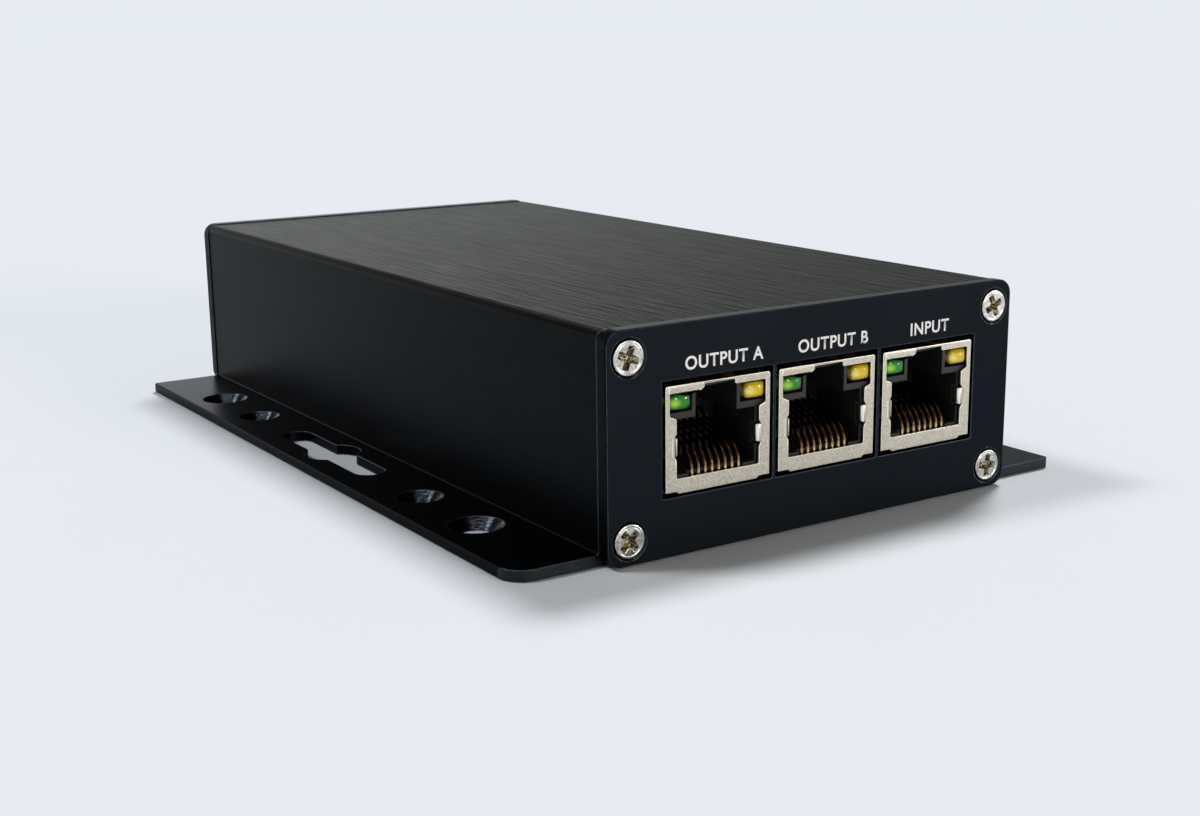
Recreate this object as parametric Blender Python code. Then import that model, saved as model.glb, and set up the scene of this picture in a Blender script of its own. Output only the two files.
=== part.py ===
"""Signal splitter: an extruded aluminium housing with two mounting wings, three shielded RJ-45
jacks on one circuit board, and a flat plate screwed to each end.

Metres, +Z up. X runs across the front, as seen from the front. Y runs from the front (-Y) to the
rear. The origin is under the middle of the part, on the surface that it stands on.
"""
import math

import bmesh
import bpy
from mathutils import Matrix, Vector

MM = 0.001

# Fits
FIT = 0.3 * MM
CUT = 1.0 * MM

# Housing: a rectangular tube with a wing along each lower edge
BODY_LENGTH = 126.4 * MM
BODY_WIDTH = 65.4 * MM
BODY_HEIGHT = 28.6 * MM
WALL = 1.8 * MM
BODY_EDGE_RADIUS = 1.2 * MM
WING_REACH = 12.0 * MM
WING_THICKNESS = 1.5 * MM
WING_ROOT_RADIUS = 0.3 * MM
WING_EDGE_RADIUS = 0.25 * MM
WING_CORNER_RADIUS = 0.8 * MM
FRONT_LEFT_CORNER_RADIUS = 3.2 * MM
RAIL_REACH = 1.6 * MM
RAIL_HEIGHT = 1.2 * MM
BOSS_REACH = 3.8 * MM
BOSS_DEPTH = 4.4 * MM

# Mounting holes of each wing, all on its middle line
OUTER_HOLE_PITCH = 88.0 * MM
OUTER_HOLE_DIAMETER = 4.5 * MM
OUTER_SINK_DIAMETER = 7.4 * MM
INNER_HOLE_PITCH = 57.0 * MM
INNER_HOLE_DIAMETER = 3.5 * MM
INNER_SINK_DIAMETER = 6.4 * MM
KEYHOLE_LENGTH = 30.0 * MM
KEYHOLE_SLOT_WIDTH = 4.5 * MM
KEYHOLE_ROUND_DIAMETER = 8.5 * MM

# End plates and their screws
PLATE_THICKNESS = 2.0 * MM
PLATE_OVERHANG = 0.2 * MM
PLATE_FOOT = 0.1 * MM
PLATE_CORNER_RADIUS = 2.0 * MM
PLATE_EDGE_BEVEL = 0.25 * MM
SCREW_INSET_SIDE = 3.0 * MM
SCREW_INSET_END = 3.2 * MM
SCREW_HEAD_DIAMETER = 4.3 * MM
SCREW_SHANK_DIAMETER = 2.3 * MM
SCREW_LENGTH = 8.0 * MM
RECESS_SPAN = 2.6 * MM
RECESS_WIDTH = 0.55 * MM
RECESS_DEPTH = 1.1 * MM
RECESS_FOOT = 1.0 * MM
RECESS_TURNS = (20, 65, 48, 5)

# Circuit board
BOARD_THICKNESS = 1.6 * MM
BOARD_BOTTOM = 6.3 * MM

# Jacks: a row of three, a little right of the middle
JACK_COUNT = 3
JACK_PITCH = 17.22 * MM
JACK_ROW_OFFSET = 0.66 * MM
WINDOW_SIDE_GAP = 0.3 * MM
WINDOW_TOP_GAP = 0.7 * MM
WINDOW_BOTTOM_GAP = 0.6 * MM
SHIELD_WIDTH = 16.0 * MM
SHIELD_HEIGHT = 13.05 * MM
SHIELD_DEPTH = 21.3 * MM
SHEET = 0.3 * MM
SHIELD_SIDE_FRAME = 1.65 * MM
SHIELD_BOTTOM_FRAME = 1.6 * MM
SHIELD_TOP_FRAME = 0.9 * MM
LATCH_GAP_WIDTH = 5.0 * MM
LED_WINDOW_FRAME = 0.65 * MM
LED_WINDOW_HEIGHT = 2.85 * MM
LED_WINDOW_SLOPE = 0.4 * MM
TAB_REACH = 0.5 * MM
TAB_HEIGHT = 2.2 * MM
TAB_CENTRE = 5.5 * MM
TAB_NOTCH = 0.25 * MM
TAB_LENGTH = 1.2 * MM
LIP_DROP = 0.3 * MM
LEG_WIDTH = 1.6 * MM
LEG_LENGTH = 1.2 * MM
LEG_DEPTH = 9.0 * MM

# Moulded body of a jack
CAVITY_WIDTH = 11.9 * MM
CAVITY_HEIGHT = 6.9 * MM
CAVITY_DEPTH = 9.2 * MM
CAVITY_FLOOR = 1.9 * MM
LATCH_WIDTH = 6.2 * MM
LATCH_DEPTH = 8.6 * MM
LATCH_ROOF = 0.45 * MM
LATCH_STEP = 1.4 * MM
POST_DIAMETER = 3.2 * MM
POST_PITCH = 11.4 * MM
POST_DEPTH = 12.4 * MM
POST_LENGTH = 2.2 * MM

# Light-emitting diodes in the upper corners of a jack
LED_WIDTH = 3.1 * MM
LED_HEIGHT = 2.1 * MM
LED_DEPTH = 6.4 * MM
LED_SIDE_INSET = 0.85 * MM
LED_TOP_INSET = 1.05 * MM
LED_CROWN = 0.6 * MM

# Contact wires of a jack
CONTACT_COUNT = 8
CONTACT_PITCH = 1.016 * MM
CONTACT_DIAMETER = 0.46 * MM
CONTACT_TAIL_DEPTH = 13.4 * MM
CONTACT_FRONT_DEPTH = 0.95 * MM
CONTACT_BEND_RADIUS = 0.5 * MM
CONTACT_TIP_DEPTH = 9.9 * MM
CONTACT_TIP_HEIGHT = 6.5 * MM
CONTACT_SWEEP = 2.0
CONTACT_RISE = 1.7
TIP_POCKET_DEPTH = 1.0 * MM
TIP_POCKET_HEIGHT = 2.0 * MM

# Supply inlet in the rear plate
INLET_OFFSET = 18.0 * MM
INLET_WIDTH = 9.0 * MM
INLET_HEIGHT = 11.0 * MM
INLET_DEPTH = 14.2 * MM
INLET_BORE_DIAMETER = 6.4 * MM
INLET_BORE_DEPTH = 9.5 * MM
INLET_PIN_DIAMETER = 2.1 * MM
INLET_PIN_LENGTH = 8.6 * MM
INLET_CROWN_CUT = 1.6 * MM

# Chips and supply parts on the board
DRIVER_LENGTH = 4.9 * MM
DRIVER_DEPTH = 30.0 * MM
LOGIC_LENGTH = 9.9 * MM
LOGIC_DEPTH = 44.0 * MM
CHIP_WIDTH = 3.9 * MM
CHIP_HEIGHT = 1.5 * MM
LEAD_PITCH = 1.27 * MM
LEAD_WIDTH = 0.42 * MM
LEAD_THICKNESS = 0.25 * MM
LEAD_SPAN = 6.0 * MM
REGULATOR_SIZE = 6.5 * MM
REGULATOR_TAB = 1.8 * MM
REGULATOR_HEIGHT = 2.3 * MM
REGULATOR_TAB_THICKNESS = 0.75 * MM
CHOKE_SIZE = 8.0 * MM
CHOKE_HEIGHT = 4.0 * MM
CHOKE_CHAMFER = 1.8 * MM
CAPACITOR_DIAMETER = 8.0 * MM
CAPACITOR_HEIGHT = 11.5 * MM
CAPACITOR_GROOVE = 0.35 * MM
CAPACITOR_NECK_HEIGHT = 1.4 * MM
CAPACITOR_PITCH = 10.0 * MM
SUPPLY_DEPTH = 34.0 * MM

# Worked out from the sizes above
front_y = -BODY_LENGTH / 2 - FIT - PLATE_THICKNESS
rear_y = -front_y
inner_half_width = BODY_WIDTH / 2 - WALL
board_top = BOARD_BOTTOM + BOARD_THICKNESS
jack_base = board_top + FIT
wing_middle = BODY_WIDTH / 2 + WING_REACH / 2
screw_x = BODY_WIDTH / 2 - SCREW_INSET_SIDE
screw_low = SCREW_INSET_END
screw_high = BODY_HEIGHT - SCREW_INSET_END
screw_port_radius = SCREW_SHANK_DIAMETER / 2 + FIT
moulding_half_width = SHIELD_WIDTH / 2 - SHEET - FIT
led_x = SHIELD_WIDTH / 2 - LED_SIDE_INSET - LED_WIDTH / 2
led_bottom = SHIELD_HEIGHT - LED_TOP_INSET - LED_HEIGHT


def material(name, colour, roughness, metallic=0.0):
    """A Principled surface of one colour."""
    made = bpy.data.materials.new(name)
    made.use_nodes = True
    surface = made.node_tree.nodes["Principled BSDF"]
    surface.inputs["Base Color"].default_value = (*colour, 1.0)
    surface.inputs["Roughness"].default_value = roughness
    surface.inputs["Metallic"].default_value = metallic
    return made


def place(name, data, surface=None, parent=None, location=(0, 0, 0), rotation=(0, 0, 0)):
    """One object of the scene, placed under its parent."""
    obj = bpy.data.objects.new(name, data)
    bpy.context.scene.collection.objects.link(obj)
    obj.location = location
    obj.rotation_euler = rotation
    obj.parent = parent
    if surface and not data.materials:
        data.materials.append(surface)
    return obj


def shade_round(mesh, degrees=35):
    """Smooth shading that keeps the edges over this angle sharp."""
    mesh.shade_smooth()
    mesh.set_sharp_from_angle(angle=math.radians(degrees))


def mesh_from(bm, name):
    """Turns a bmesh into a mesh with its faces pointing out."""
    bmesh.ops.recalc_face_normals(bm, faces=bm.faces)
    mesh = bpy.data.meshes.new(name)
    bm.to_mesh(mesh)
    bm.free()
    return mesh


def prism(name, loops, start, end, axis="Y"):
    """A flat outline, with holes after its first loop, run from start to end along an axis.

    Loop points are (x, z) for Y, (x, y) for Z and (y, z) for X.
    """
    def point(a, b, along):
        return {"X": (along, a, b), "Y": (a, along, b), "Z": (a, b, along)}[axis]

    bm = bmesh.new()
    for loop in loops:
        corners = [bm.verts.new(point(a, b, start)) for a, b in loop]
        for first, second in zip(corners, corners[1:] + corners[:1]):
            bm.edges.new((first, second))
    filled = bmesh.ops.triangle_fill(bm, use_beauty=True, edges=bm.edges)
    faces = [item for item in filled["geom"] if isinstance(item, bmesh.types.BMFace)]
    grown = bmesh.ops.extrude_face_region(bm, geom=faces, use_keep_orig=True)
    moved = [item for item in grown["geom"] if isinstance(item, bmesh.types.BMVert)]
    bmesh.ops.translate(bm, verts=moved, vec=Vector(point(0, 0, end - start)))
    return mesh_from(bm, name)


def block(name, low, high):
    """A box between two corners."""
    bm = bmesh.new()
    size = [b - a for a, b in zip(low, high)]
    centre = [(a + b) / 2 for a, b in zip(low, high)]
    bmesh.ops.create_cube(bm, size=1.0, matrix=Matrix.Translation(centre) @ Matrix.Diagonal((*size, 1)))
    return mesh_from(bm, name)


def turned(name, profile, segments):
    """A solid turned about Z from (radius, height) points, top to bottom, closed at both ends."""
    bm = bmesh.new()
    rings = []
    for radius, height in profile:
        if radius == 0:
            rings.append([bm.verts.new((0, 0, height))])
            continue
        angles = [2 * math.pi * step / segments for step in range(segments)]
        rings.append([bm.verts.new((radius * math.cos(a), radius * math.sin(a), height)) for a in angles])
    for upper, lower in zip(rings, rings[1:]):
        for step in range(segments):
            after = (step + 1) % segments
            corners = [upper[step % len(upper)], upper[after % len(upper)]]
            corners += [lower[after % len(lower)], lower[step % len(lower)]]
            bm.faces.new(list(dict.fromkeys(corners)))
    for ring in (rings[0], rings[-1]):
        if len(ring) > 1:
            bm.faces.new(ring)
    return mesh_from(bm, name)


def arc(centre, radius, start, end, steps):
    """Points on an arc, in degrees, with both ends."""
    angles = [math.radians(start + (end - start) * step / steps) for step in range(steps + 1)]
    return [(centre[0] + radius * math.cos(a), centre[1] + radius * math.sin(a)) for a in angles]


def rounded_box(left, right, bottom, top, radius, steps=4):
    """Outline of a rectangle with round corners."""
    outline = arc((right - radius, bottom + radius), radius, -90, 0, steps)
    outline += arc((right - radius, top - radius), radius, 0, 90, steps)
    outline += arc((left + radius, top - radius), radius, 90, 180, steps)
    outline += arc((left + radius, bottom + radius), radius, 180, 270, steps)
    return outline


def box_outline(left, right, bottom, top):
    """Outline of a plain rectangle."""
    return [(left, bottom), (right, bottom), (right, top), (left, top)]


def mirrored(half):
    """A whole outline from its right half, which starts and ends on the middle line."""
    return half + [(-x, z) for x, z in reversed(half) if x > 0]


def boolean(target, operation, mesh, parent=None, location=(0, 0, 0), rotation=(0, 0, 0)):
    """Cuts a mesh out of an object, or joins it on, through a hidden helper object."""
    helper = place(f"{target.name}_{operation.lower()}_{len(target.modifiers)}", mesh,
                   parent=parent, location=location, rotation=rotation)
    helper.hide_render = True
    helper.display_type = "WIRE"
    modifier = target.modifiers.new(helper.name, "BOOLEAN")
    modifier.operation = operation
    modifier.solver = "EXACT"
    modifier.object = helper


def cut(target, mesh, **placing):
    boolean(target, "DIFFERENCE", mesh, **placing)


def join(target, mesh, **placing):
    boolean(target, "UNION", mesh, **placing)


def housing_outline():
    """Cross-section of the tube and its wings."""
    half = BODY_WIDTH / 2
    tip = half + WING_REACH
    edge = WING_EDGE_RADIUS
    root = WING_ROOT_RADIUS
    right = [(0, 0)]
    right += arc((tip - edge, edge), edge, -90, 0, 2)
    right += arc((tip - edge, WING_THICKNESS - edge), edge, 0, 90, 2)
    right += arc((half + root, WING_THICKNESS + root), root, 270, 180, 3)
    right += arc((half - BODY_EDGE_RADIUS, BODY_HEIGHT - BODY_EDGE_RADIUS), BODY_EDGE_RADIUS, 0, 90, 5)
    right += [(0, BODY_HEIGHT)]
    return mirrored(right)


def hollow_outline():
    """Inside of the tube: screw bosses in the corners, which also carry the board, and rails over it."""
    wall = inner_half_width
    boss = wall - BOSS_REACH
    seat = BOARD_BOTTOM - FIT
    rail = board_top + FIT
    ceiling = BODY_HEIGHT - WALL
    right = [(0, WALL), (boss, WALL), (boss, seat), (wall, seat)]
    right += [(wall, rail), (wall - RAIL_REACH, rail)]
    right += [(wall - RAIL_REACH, rail + RAIL_HEIGHT), (wall, rail + RAIL_HEIGHT)]
    right += [(wall, ceiling - BOSS_DEPTH), (boss, ceiling - BOSS_DEPTH), (boss, ceiling), (0, ceiling)]
    return mirrored(right)


def screw_places():
    """Where the screws of an end plate sit, as (x, z)."""
    return [(side * screw_x, z) for z in (screw_high, screw_low) for side in (-1, 1)]


def sink_cutter(name, hole, sink, depth):
    """A countersunk hole to cut down from z = 0 through this depth of metal."""
    slope = (sink - hole) / 2
    profile = [(sink / 2 + CUT, CUT), (hole / 2, -slope), (hole / 2, -depth - CUT)]
    return turned(name, profile, 24)


def wing_corner_cutter(side, end):
    """What a wing's round corner takes off its square one. The front left one is the roundest."""
    radius = FRONT_LEFT_CORNER_RADIUS if (side, end) == (-1, -1) else WING_CORNER_RADIUS
    tip = BODY_WIDTH / 2 + WING_REACH
    foot = BODY_LENGTH / 2
    outline = arc((tip - radius, foot - radius), radius, 0, 90, 6)
    outline += [(tip - radius, foot + CUT), (tip + CUT, foot + CUT), (tip + CUT, foot - radius)]
    outline = [(side * x, end * y) for x, y in outline]
    return prism("wing_corner", [outline], -CUT, WING_THICKNESS + CUT, "Z")


def keyhole_slot_outline():
    """The long slot of a keyhole, round at both ends."""
    radius = KEYHOLE_SLOT_WIDTH / 2
    straight = KEYHOLE_LENGTH / 2 - radius
    return arc((0, straight), radius, 0, 180, 8) + arc((0, -straight), radius, 180, 360, 8)


def make_housing(surface):
    """The extrusion, with the holes and slots of its wings."""
    ports = [arc(centre, screw_port_radius, 0, 330, 11) for centre in screw_places()]
    loops = [housing_outline(), hollow_outline(), *ports]
    housing = place("housing", prism("housing", loops, -BODY_LENGTH / 2, BODY_LENGTH / 2), surface)
    holes = ((OUTER_HOLE_PITCH, OUTER_HOLE_DIAMETER, OUTER_SINK_DIAMETER),
             (INNER_HOLE_PITCH, INNER_HOLE_DIAMETER, INNER_SINK_DIAMETER))
    for side in (-1, 1):
        for end in (-1, 1):
            cut(housing, wing_corner_cutter(side, end))
            for pitch, hole, sink in holes:
                cutter = sink_cutter("wing_hole", hole, sink, WING_THICKNESS)
                cut(housing, cutter, location=(side * wing_middle, end * pitch / 2, WING_THICKNESS))
        slot = prism("keyhole_slot", [keyhole_slot_outline()], -CUT, WING_THICKNESS + CUT, "Z")
        cut(housing, slot, location=(side * wing_middle, 0, 0))
        radius = KEYHOLE_ROUND_DIAMETER / 2
        middle = turned("keyhole_round", [(radius, WING_THICKNESS + 2 * CUT), (radius, -2 * CUT)], 28)
        cut(housing, middle, location=(side * wing_middle, 0, 0))
    shade_round(housing.data)
    return housing


def plate_mesh(name):
    """A flat end plate, its outer face at y = 0 and its body behind that, with its outer edge broken."""
    half = BODY_WIDTH / 2 + PLATE_OVERHANG
    outline = rounded_box(-half, half, PLATE_FOOT, BODY_HEIGHT + PLATE_OVERHANG, PLATE_CORNER_RADIUS, 6)
    mesh = prism(name, [outline], 0, PLATE_THICKNESS)
    bm = bmesh.new()
    bm.from_mesh(mesh)
    front = [edge for edge in bm.edges if all(vert.co.y < FIT for vert in edge.verts)]
    rim = [edge for edge in front if edge.calc_face_angle() > math.radians(60)]
    bmesh.ops.bevel(bm, geom=rim, offset=PLATE_EDGE_BEVEL, segments=2, profile=0.5, affect="EDGES")
    bm.to_mesh(mesh)
    bm.free()
    return mesh


def make_plate(name, surface, windows, y, turn):
    """An end plate at y, turned about Z to face outwards, with its windows and countersunk holes."""
    plate = place(name, plate_mesh(name), surface, location=(0, y, 0), rotation=(0, 0, turn))
    for outline in windows:
        cut(plate, prism("window", [outline], -CUT, PLATE_THICKNESS + CUT), parent=plate)
    for x, z in screw_places():
        cutter = sink_cutter("plate_hole", 2 * screw_port_radius, SCREW_HEAD_DIAMETER + 2 * FIT,
                             PLATE_THICKNESS)
        cut(plate, cutter, parent=plate, location=(x, 0, z), rotation=(math.radians(90), 0, 0))
    shade_round(plate.data)
    return plate


def screw_mesh():
    """A countersunk screw, its head flush with z = 0 and its shank below."""
    head = SCREW_HEAD_DIAMETER / 2
    shank = SCREW_SHANK_DIAMETER / 2
    tip = shank / 2
    profile = [(head, 0), (shank, shank - head), (shank, tip - SCREW_LENGTH), (tip, -SCREW_LENGTH)]
    return turned("screw", profile, 20)


def recess_mesh():
    """One slot of a cross recess, narrower at its foot."""
    span = RECESS_SPAN / 2
    foot = RECESS_FOOT / 2
    right = [(foot, -RECESS_DEPTH), (span, 0), (span, CUT)]
    return prism("recess", [mirrored(right)], -RECESS_WIDTH / 2, RECESS_WIDTH / 2)


def make_screws(prefix, surface, y, facing):
    """The four screws of an end plate, each recess turned as its screw came to a stop."""
    shared = screw_mesh()
    shade_round(shared)
    for number, ((x, z), stop) in enumerate(zip(screw_places(), RECESS_TURNS), 1):
        lying = (math.radians(90) * facing, 0, 0)
        screw = place(f"{prefix}_screw_{number}", shared, surface, location=(x, y, z), rotation=lying)
        for quarter in (0, 90):
            cut(screw, recess_mesh(), parent=screw, rotation=(0, 0, math.radians(stop + quarter)))


def jack_places():
    """The middle of each jack along X."""
    first = JACK_ROW_OFFSET - JACK_PITCH * (JACK_COUNT - 1) / 2
    return [first + JACK_PITCH * number for number in range(JACK_COUNT)]


def jack_windows():
    """The front plate's windows, one round each jack's shield."""
    half = SHIELD_WIDTH / 2 + WINDOW_SIDE_GAP
    bottom = jack_base - WINDOW_BOTTOM_GAP
    top = jack_base + SHIELD_HEIGHT + WINDOW_TOP_GAP
    return [box_outline(x - half, x + half, bottom, top) for x in jack_places()]


def shield_face_outline():
    """The hole in the shield's face: plug cavity, latch gap, LED windows and notches by the spring tabs."""
    side = SHIELD_WIDTH / 2 - SHIELD_SIDE_FRAME
    led = SHIELD_WIDTH / 2 - LED_WINDOW_FRAME
    top = SHIELD_HEIGHT - SHIELD_TOP_FRAME
    led_foot = top - LED_WINDOW_HEIGHT
    latch = LATCH_GAP_WIDTH / 2
    low = TAB_CENTRE - TAB_HEIGHT / 2
    high = TAB_CENTRE + TAB_HEIGHT / 2
    right = [(0, SHIELD_BOTTOM_FRAME), (side, SHIELD_BOTTOM_FRAME)]
    right += [(side, low - 2 * TAB_NOTCH), (side + TAB_NOTCH, low - TAB_NOTCH), (side, low)]
    right += [(side - TAB_REACH, low), (side - TAB_REACH, high), (side, high)]
    right += [(side + TAB_NOTCH, high + TAB_NOTCH), (side, high + 2 * TAB_NOTCH)]
    right += [(side, led_foot - LED_WINDOW_SLOPE), (led, led_foot), (led, top), (latch, top)]
    right += [(latch, SHIELD_HEIGHT - SHEET), (0, SHIELD_HEIGHT - SHEET)]
    return mirrored(right)


def shield_tab_mesh(side):
    """A spring tab that runs back from the face into the body's side wall."""
    low = TAB_CENTRE - TAB_HEIGHT / 2
    high = TAB_CENTRE + TAB_HEIGHT / 2
    root = SHIELD_WIDTH / 2 - SHIELD_SIDE_FRAME - TAB_REACH
    lean = TAB_REACH
    outline = [(root, 0), (root + SHEET, 0), (root + SHEET + lean, TAB_LENGTH), (root + lean, TAB_LENGTH)]
    return prism("shield_tab", [[(side * x, y) for x, y in outline]], low, high, "Z")


def make_shield(number, surface, parent):
    """A folded sheet-metal can, open below, with a lip under its face and a solder leg each side."""
    half = SHIELD_WIDTH / 2
    can = block("shield", (-half, 0, 0), (half, SHIELD_DEPTH, SHIELD_HEIGHT))
    shield = place(f"jack_{number}_shield", can, surface, parent)
    inside = block("shield_inside", (SHEET - half, SHEET, -CUT),
                   (half - SHEET, SHIELD_DEPTH - SHEET, SHIELD_HEIGHT - SHEET))
    cut(shield, inside, parent=parent)
    cut(shield, prism("shield_face", [shield_face_outline()], -CUT, SHEET + FIT), parent=parent)
    lip = half - SHIELD_SIDE_FRAME
    lip_outline = [(-lip, SHEET), (-lip, 0), (LIP_DROP - lip, -LIP_DROP)]
    lip_outline += [(lip - LIP_DROP, -LIP_DROP), (lip, 0), (lip, SHEET)]
    join(shield, prism("shield_lip", [lip_outline], 0, SHEET), parent=parent)
    for side in (-1, 1):
        join(shield, shield_tab_mesh(side), parent=parent)
        inner, outer = sorted((side * half, side * (half - SHEET)))
        foot = -FIT - BOARD_THICKNESS - LEG_LENGTH
        leg = block("shield_leg", (inner, LEG_DEPTH, foot), (outer, LEG_DEPTH + LEG_WIDTH, CUT))
        join(shield, leg, parent=parent)
    return shield


def make_jack_housing(number, surface, parent):
    """The moulded body: plug cavity, latch channel, LED pockets, contact channel and board posts."""
    front = SHEET + FIT
    back = SHIELD_DEPTH - SHEET - FIT
    top = SHIELD_HEIGHT - SHEET - FIT
    body = block("jack_body", (-moulding_half_width, front, 0), (moulding_half_width, back, top))
    housing = place(f"jack_{number}_housing", body, surface, parent)
    half = CAVITY_WIDTH / 2
    ceiling = CAVITY_FLOOR + CAVITY_HEIGHT
    cavity = block("cavity", (-half, -CUT, CAVITY_FLOOR), (half, CAVITY_DEPTH, ceiling))
    cut(housing, cavity, parent=parent)
    half = LATCH_WIDTH / 2
    latch = block("latch", (-half, -CUT, ceiling - LATCH_STEP), (half, LATCH_DEPTH, top - LATCH_ROOF))
    cut(housing, latch, parent=parent)
    contacts = CONTACT_PITCH * (CONTACT_COUNT - 1) / 2 + CONTACT_DIAMETER / 2 + FIT
    channel_top = FIT + CONTACT_BEND_RADIUS + CONTACT_DIAMETER / 2 + FIT
    tail = CONTACT_TAIL_DEPTH + CONTACT_DIAMETER / 2 + FIT
    channel = block("channel", (-contacts, -CUT, -CUT), (contacts, tail, channel_top))
    cut(housing, channel, parent=parent)
    slit_depth = CONTACT_FRONT_DEPTH + CONTACT_DIAMETER / 2 + 2 * FIT
    slit = block("slit", (-contacts, -CUT, -CUT), (contacts, slit_depth, CAVITY_FLOOR + CUT))
    cut(housing, slit, parent=parent)
    low = CONTACT_TIP_HEIGHT - TIP_POCKET_HEIGHT / 2
    tip_pocket = block("tip_pocket", (-contacts, CAVITY_DEPTH - CUT, low),
                       (contacts, CAVITY_DEPTH + TIP_POCKET_DEPTH, low + TIP_POCKET_HEIGHT))
    cut(housing, tip_pocket, parent=parent)
    for side in (-1, 1):
        pocket = (led_x - LED_WIDTH / 2 - FIT, moulding_half_width + CUT)
        inner, outer = sorted(side * x for x in pocket)
        led_pocket = block("led_pocket", (inner, -CUT, led_bottom - FIT),
                           (outer, LED_DEPTH + FIT, top + CUT))
        cut(housing, led_pocket, parent=parent)
        relief = (half, moulding_half_width + CUT)
        inner, outer = sorted(side * x for x in relief)
        spread = TAB_HEIGHT / 2 + FIT
        tab_relief = block("tab_relief", (inner, -CUT, TAB_CENTRE - spread),
                           (outer, TAB_LENGTH + FIT, TAB_CENTRE + spread))
        cut(housing, tab_relief, parent=parent)
        post = turned("post", [(POST_DIAMETER / 2, CUT), (POST_DIAMETER / 2, 0),
                               (POST_DIAMETER / 2 - FIT, -POST_LENGTH)], 12)
        join(housing, post, parent=parent, location=(side * POST_PITCH / 2, POST_DEPTH, 0))
    return housing


def led_mesh():
    """A small rectangular lamp with a crowned front, its front at y = 0 and its middle at x = 0."""
    mesh = block("led", (-LED_WIDTH / 2, 0, 0), (LED_WIDTH / 2, LED_DEPTH, LED_HEIGHT))
    bm = bmesh.new()
    bm.from_mesh(mesh)
    rim = [edge for edge in bm.edges if all(vert.co.y < FIT for vert in edge.verts)]
    bmesh.ops.bevel(bm, geom=rim, offset=LED_CROWN, segments=3, profile=0.5, affect="EDGES")
    bm.to_mesh(mesh)
    bm.free()
    shade_round(mesh, 50)
    return mesh


def make_leds(number, green, yellow, parent):
    """The green lamp at the upper left and the yellow one at the upper right."""
    for side, colour, surface in ((-1, "green", green), (1, "yellow", yellow)):
        place(f"jack_{number}_led_{colour}", led_mesh(), surface, parent, (side * led_x, 0, led_bottom))


def contact_route():
    """Side view of a contact wire, as (y, z): tail, run under the floor, front bend and arched spring."""
    bend = CONTACT_BEND_RADIUS
    run = FIT + bend
    tail = CONTACT_TAIL_DEPTH
    front = CONTACT_FRONT_DEPTH
    route = [(tail, 0)]
    route += arc((tail - bend, run - bend), bend, 0, 90, 2)[1:]
    route += arc((front + bend, run + bend), bend, 270, 180, 3)
    top = CAVITY_FLOOR
    steps = 6
    for step in range(steps + 1):
        share = step / steps
        depth = front + (CONTACT_TIP_DEPTH - front) * share ** CONTACT_SWEEP
        height = top + (CONTACT_TIP_HEIGHT - top) * (1 - (1 - share) ** CONTACT_RISE)
        route.append((depth, height))
    return route


def contact_curve():
    """The wire as a round-sectioned curve, in the plane x = 0."""
    curve = bpy.data.curves.new("contact", "CURVE")
    curve.dimensions = "3D"
    curve.bevel_depth = CONTACT_DIAMETER / 2
    curve.bevel_resolution = 1
    curve.use_fill_caps = True
    route = contact_route()
    spline = curve.splines.new("POLY")
    spline.points.add(len(route) - 1)
    for point, (y, z) in zip(spline.points, route):
        point.co = (0, y, z, 1)
    return curve


def make_contacts(number, surface, curve, parent):
    """The eight contact wires of a jack."""
    first = -CONTACT_PITCH * (CONTACT_COUNT - 1) / 2
    for wire in range(CONTACT_COUNT):
        name = f"jack_{number}_contact_{wire + 1}"
        place(name, curve, surface, parent, (first + CONTACT_PITCH * wire, 0, 0))


def make_board(surface):
    """The board, as long as the tube, with the holes that the jacks stand in."""
    half = inner_half_width - FIT
    end = BODY_LENGTH / 2
    sheet = block("board", (-half, -end, BOARD_BOTTOM), (half, end, board_top))
    board = place("circuit_board", sheet, surface)
    for x in jack_places():
        for side in (-1, 1):
            radius = POST_DIAMETER / 2 + FIT
            hole = turned("post_hole", [(radius, board_top + CUT), (radius, BOARD_BOTTOM - CUT)], 12)
            cut(board, hole, location=(x + side * POST_PITCH / 2, front_y + POST_DEPTH, 0))
            middle = x + side * (SHIELD_WIDTH - SHEET) / 2
            start = front_y + LEG_DEPTH
            spread = SHEET / 2 + FIT
            slot = block("leg_slot", (middle - spread, start - FIT, BOARD_BOTTOM - CUT),
                         (middle + spread, start + LEG_WIDTH + FIT, board_top + CUT))
            cut(board, slot)
    return board


def lead_strip():
    """One lead from side to side, seen along X: feet, bends and the run through the body."""
    foot = LEAD_SPAN / 2
    knee = CHIP_WIDTH / 2 + LEAD_THICKNESS
    middle = LEAD_THICKNESS + CHIP_HEIGHT / 2
    thick = LEAD_THICKNESS
    right = [(0, middle - thick / 2), (knee - thick / 2, middle - thick / 2), (knee, 0), (foot, 0)]
    right += [(foot, thick), (knee + thick, thick), (knee + thick / 2, middle + thick / 2)]
    right += [(0, middle + thick / 2)]
    return prism("lead", [mirrored(right)], -LEAD_WIDTH / 2, LEAD_WIDTH / 2, "X")


def make_chip(name, surface, length, x, y):
    """A small-outline chip on the board, with as many gull-wing leads as its length holds."""
    body = block(name, (-length / 2, -CHIP_WIDTH / 2, LEAD_THICKNESS),
                 (length / 2, CHIP_WIDTH / 2, LEAD_THICKNESS + CHIP_HEIGHT))
    chip = place(name, body, surface, location=(x, y, board_top + FIT))
    count = round(length / LEAD_PITCH)
    for lead in range(count):
        offset = LEAD_PITCH * (lead - (count - 1) / 2)
        join(chip, lead_strip(), parent=chip, location=(offset, 0, 0))


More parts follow.
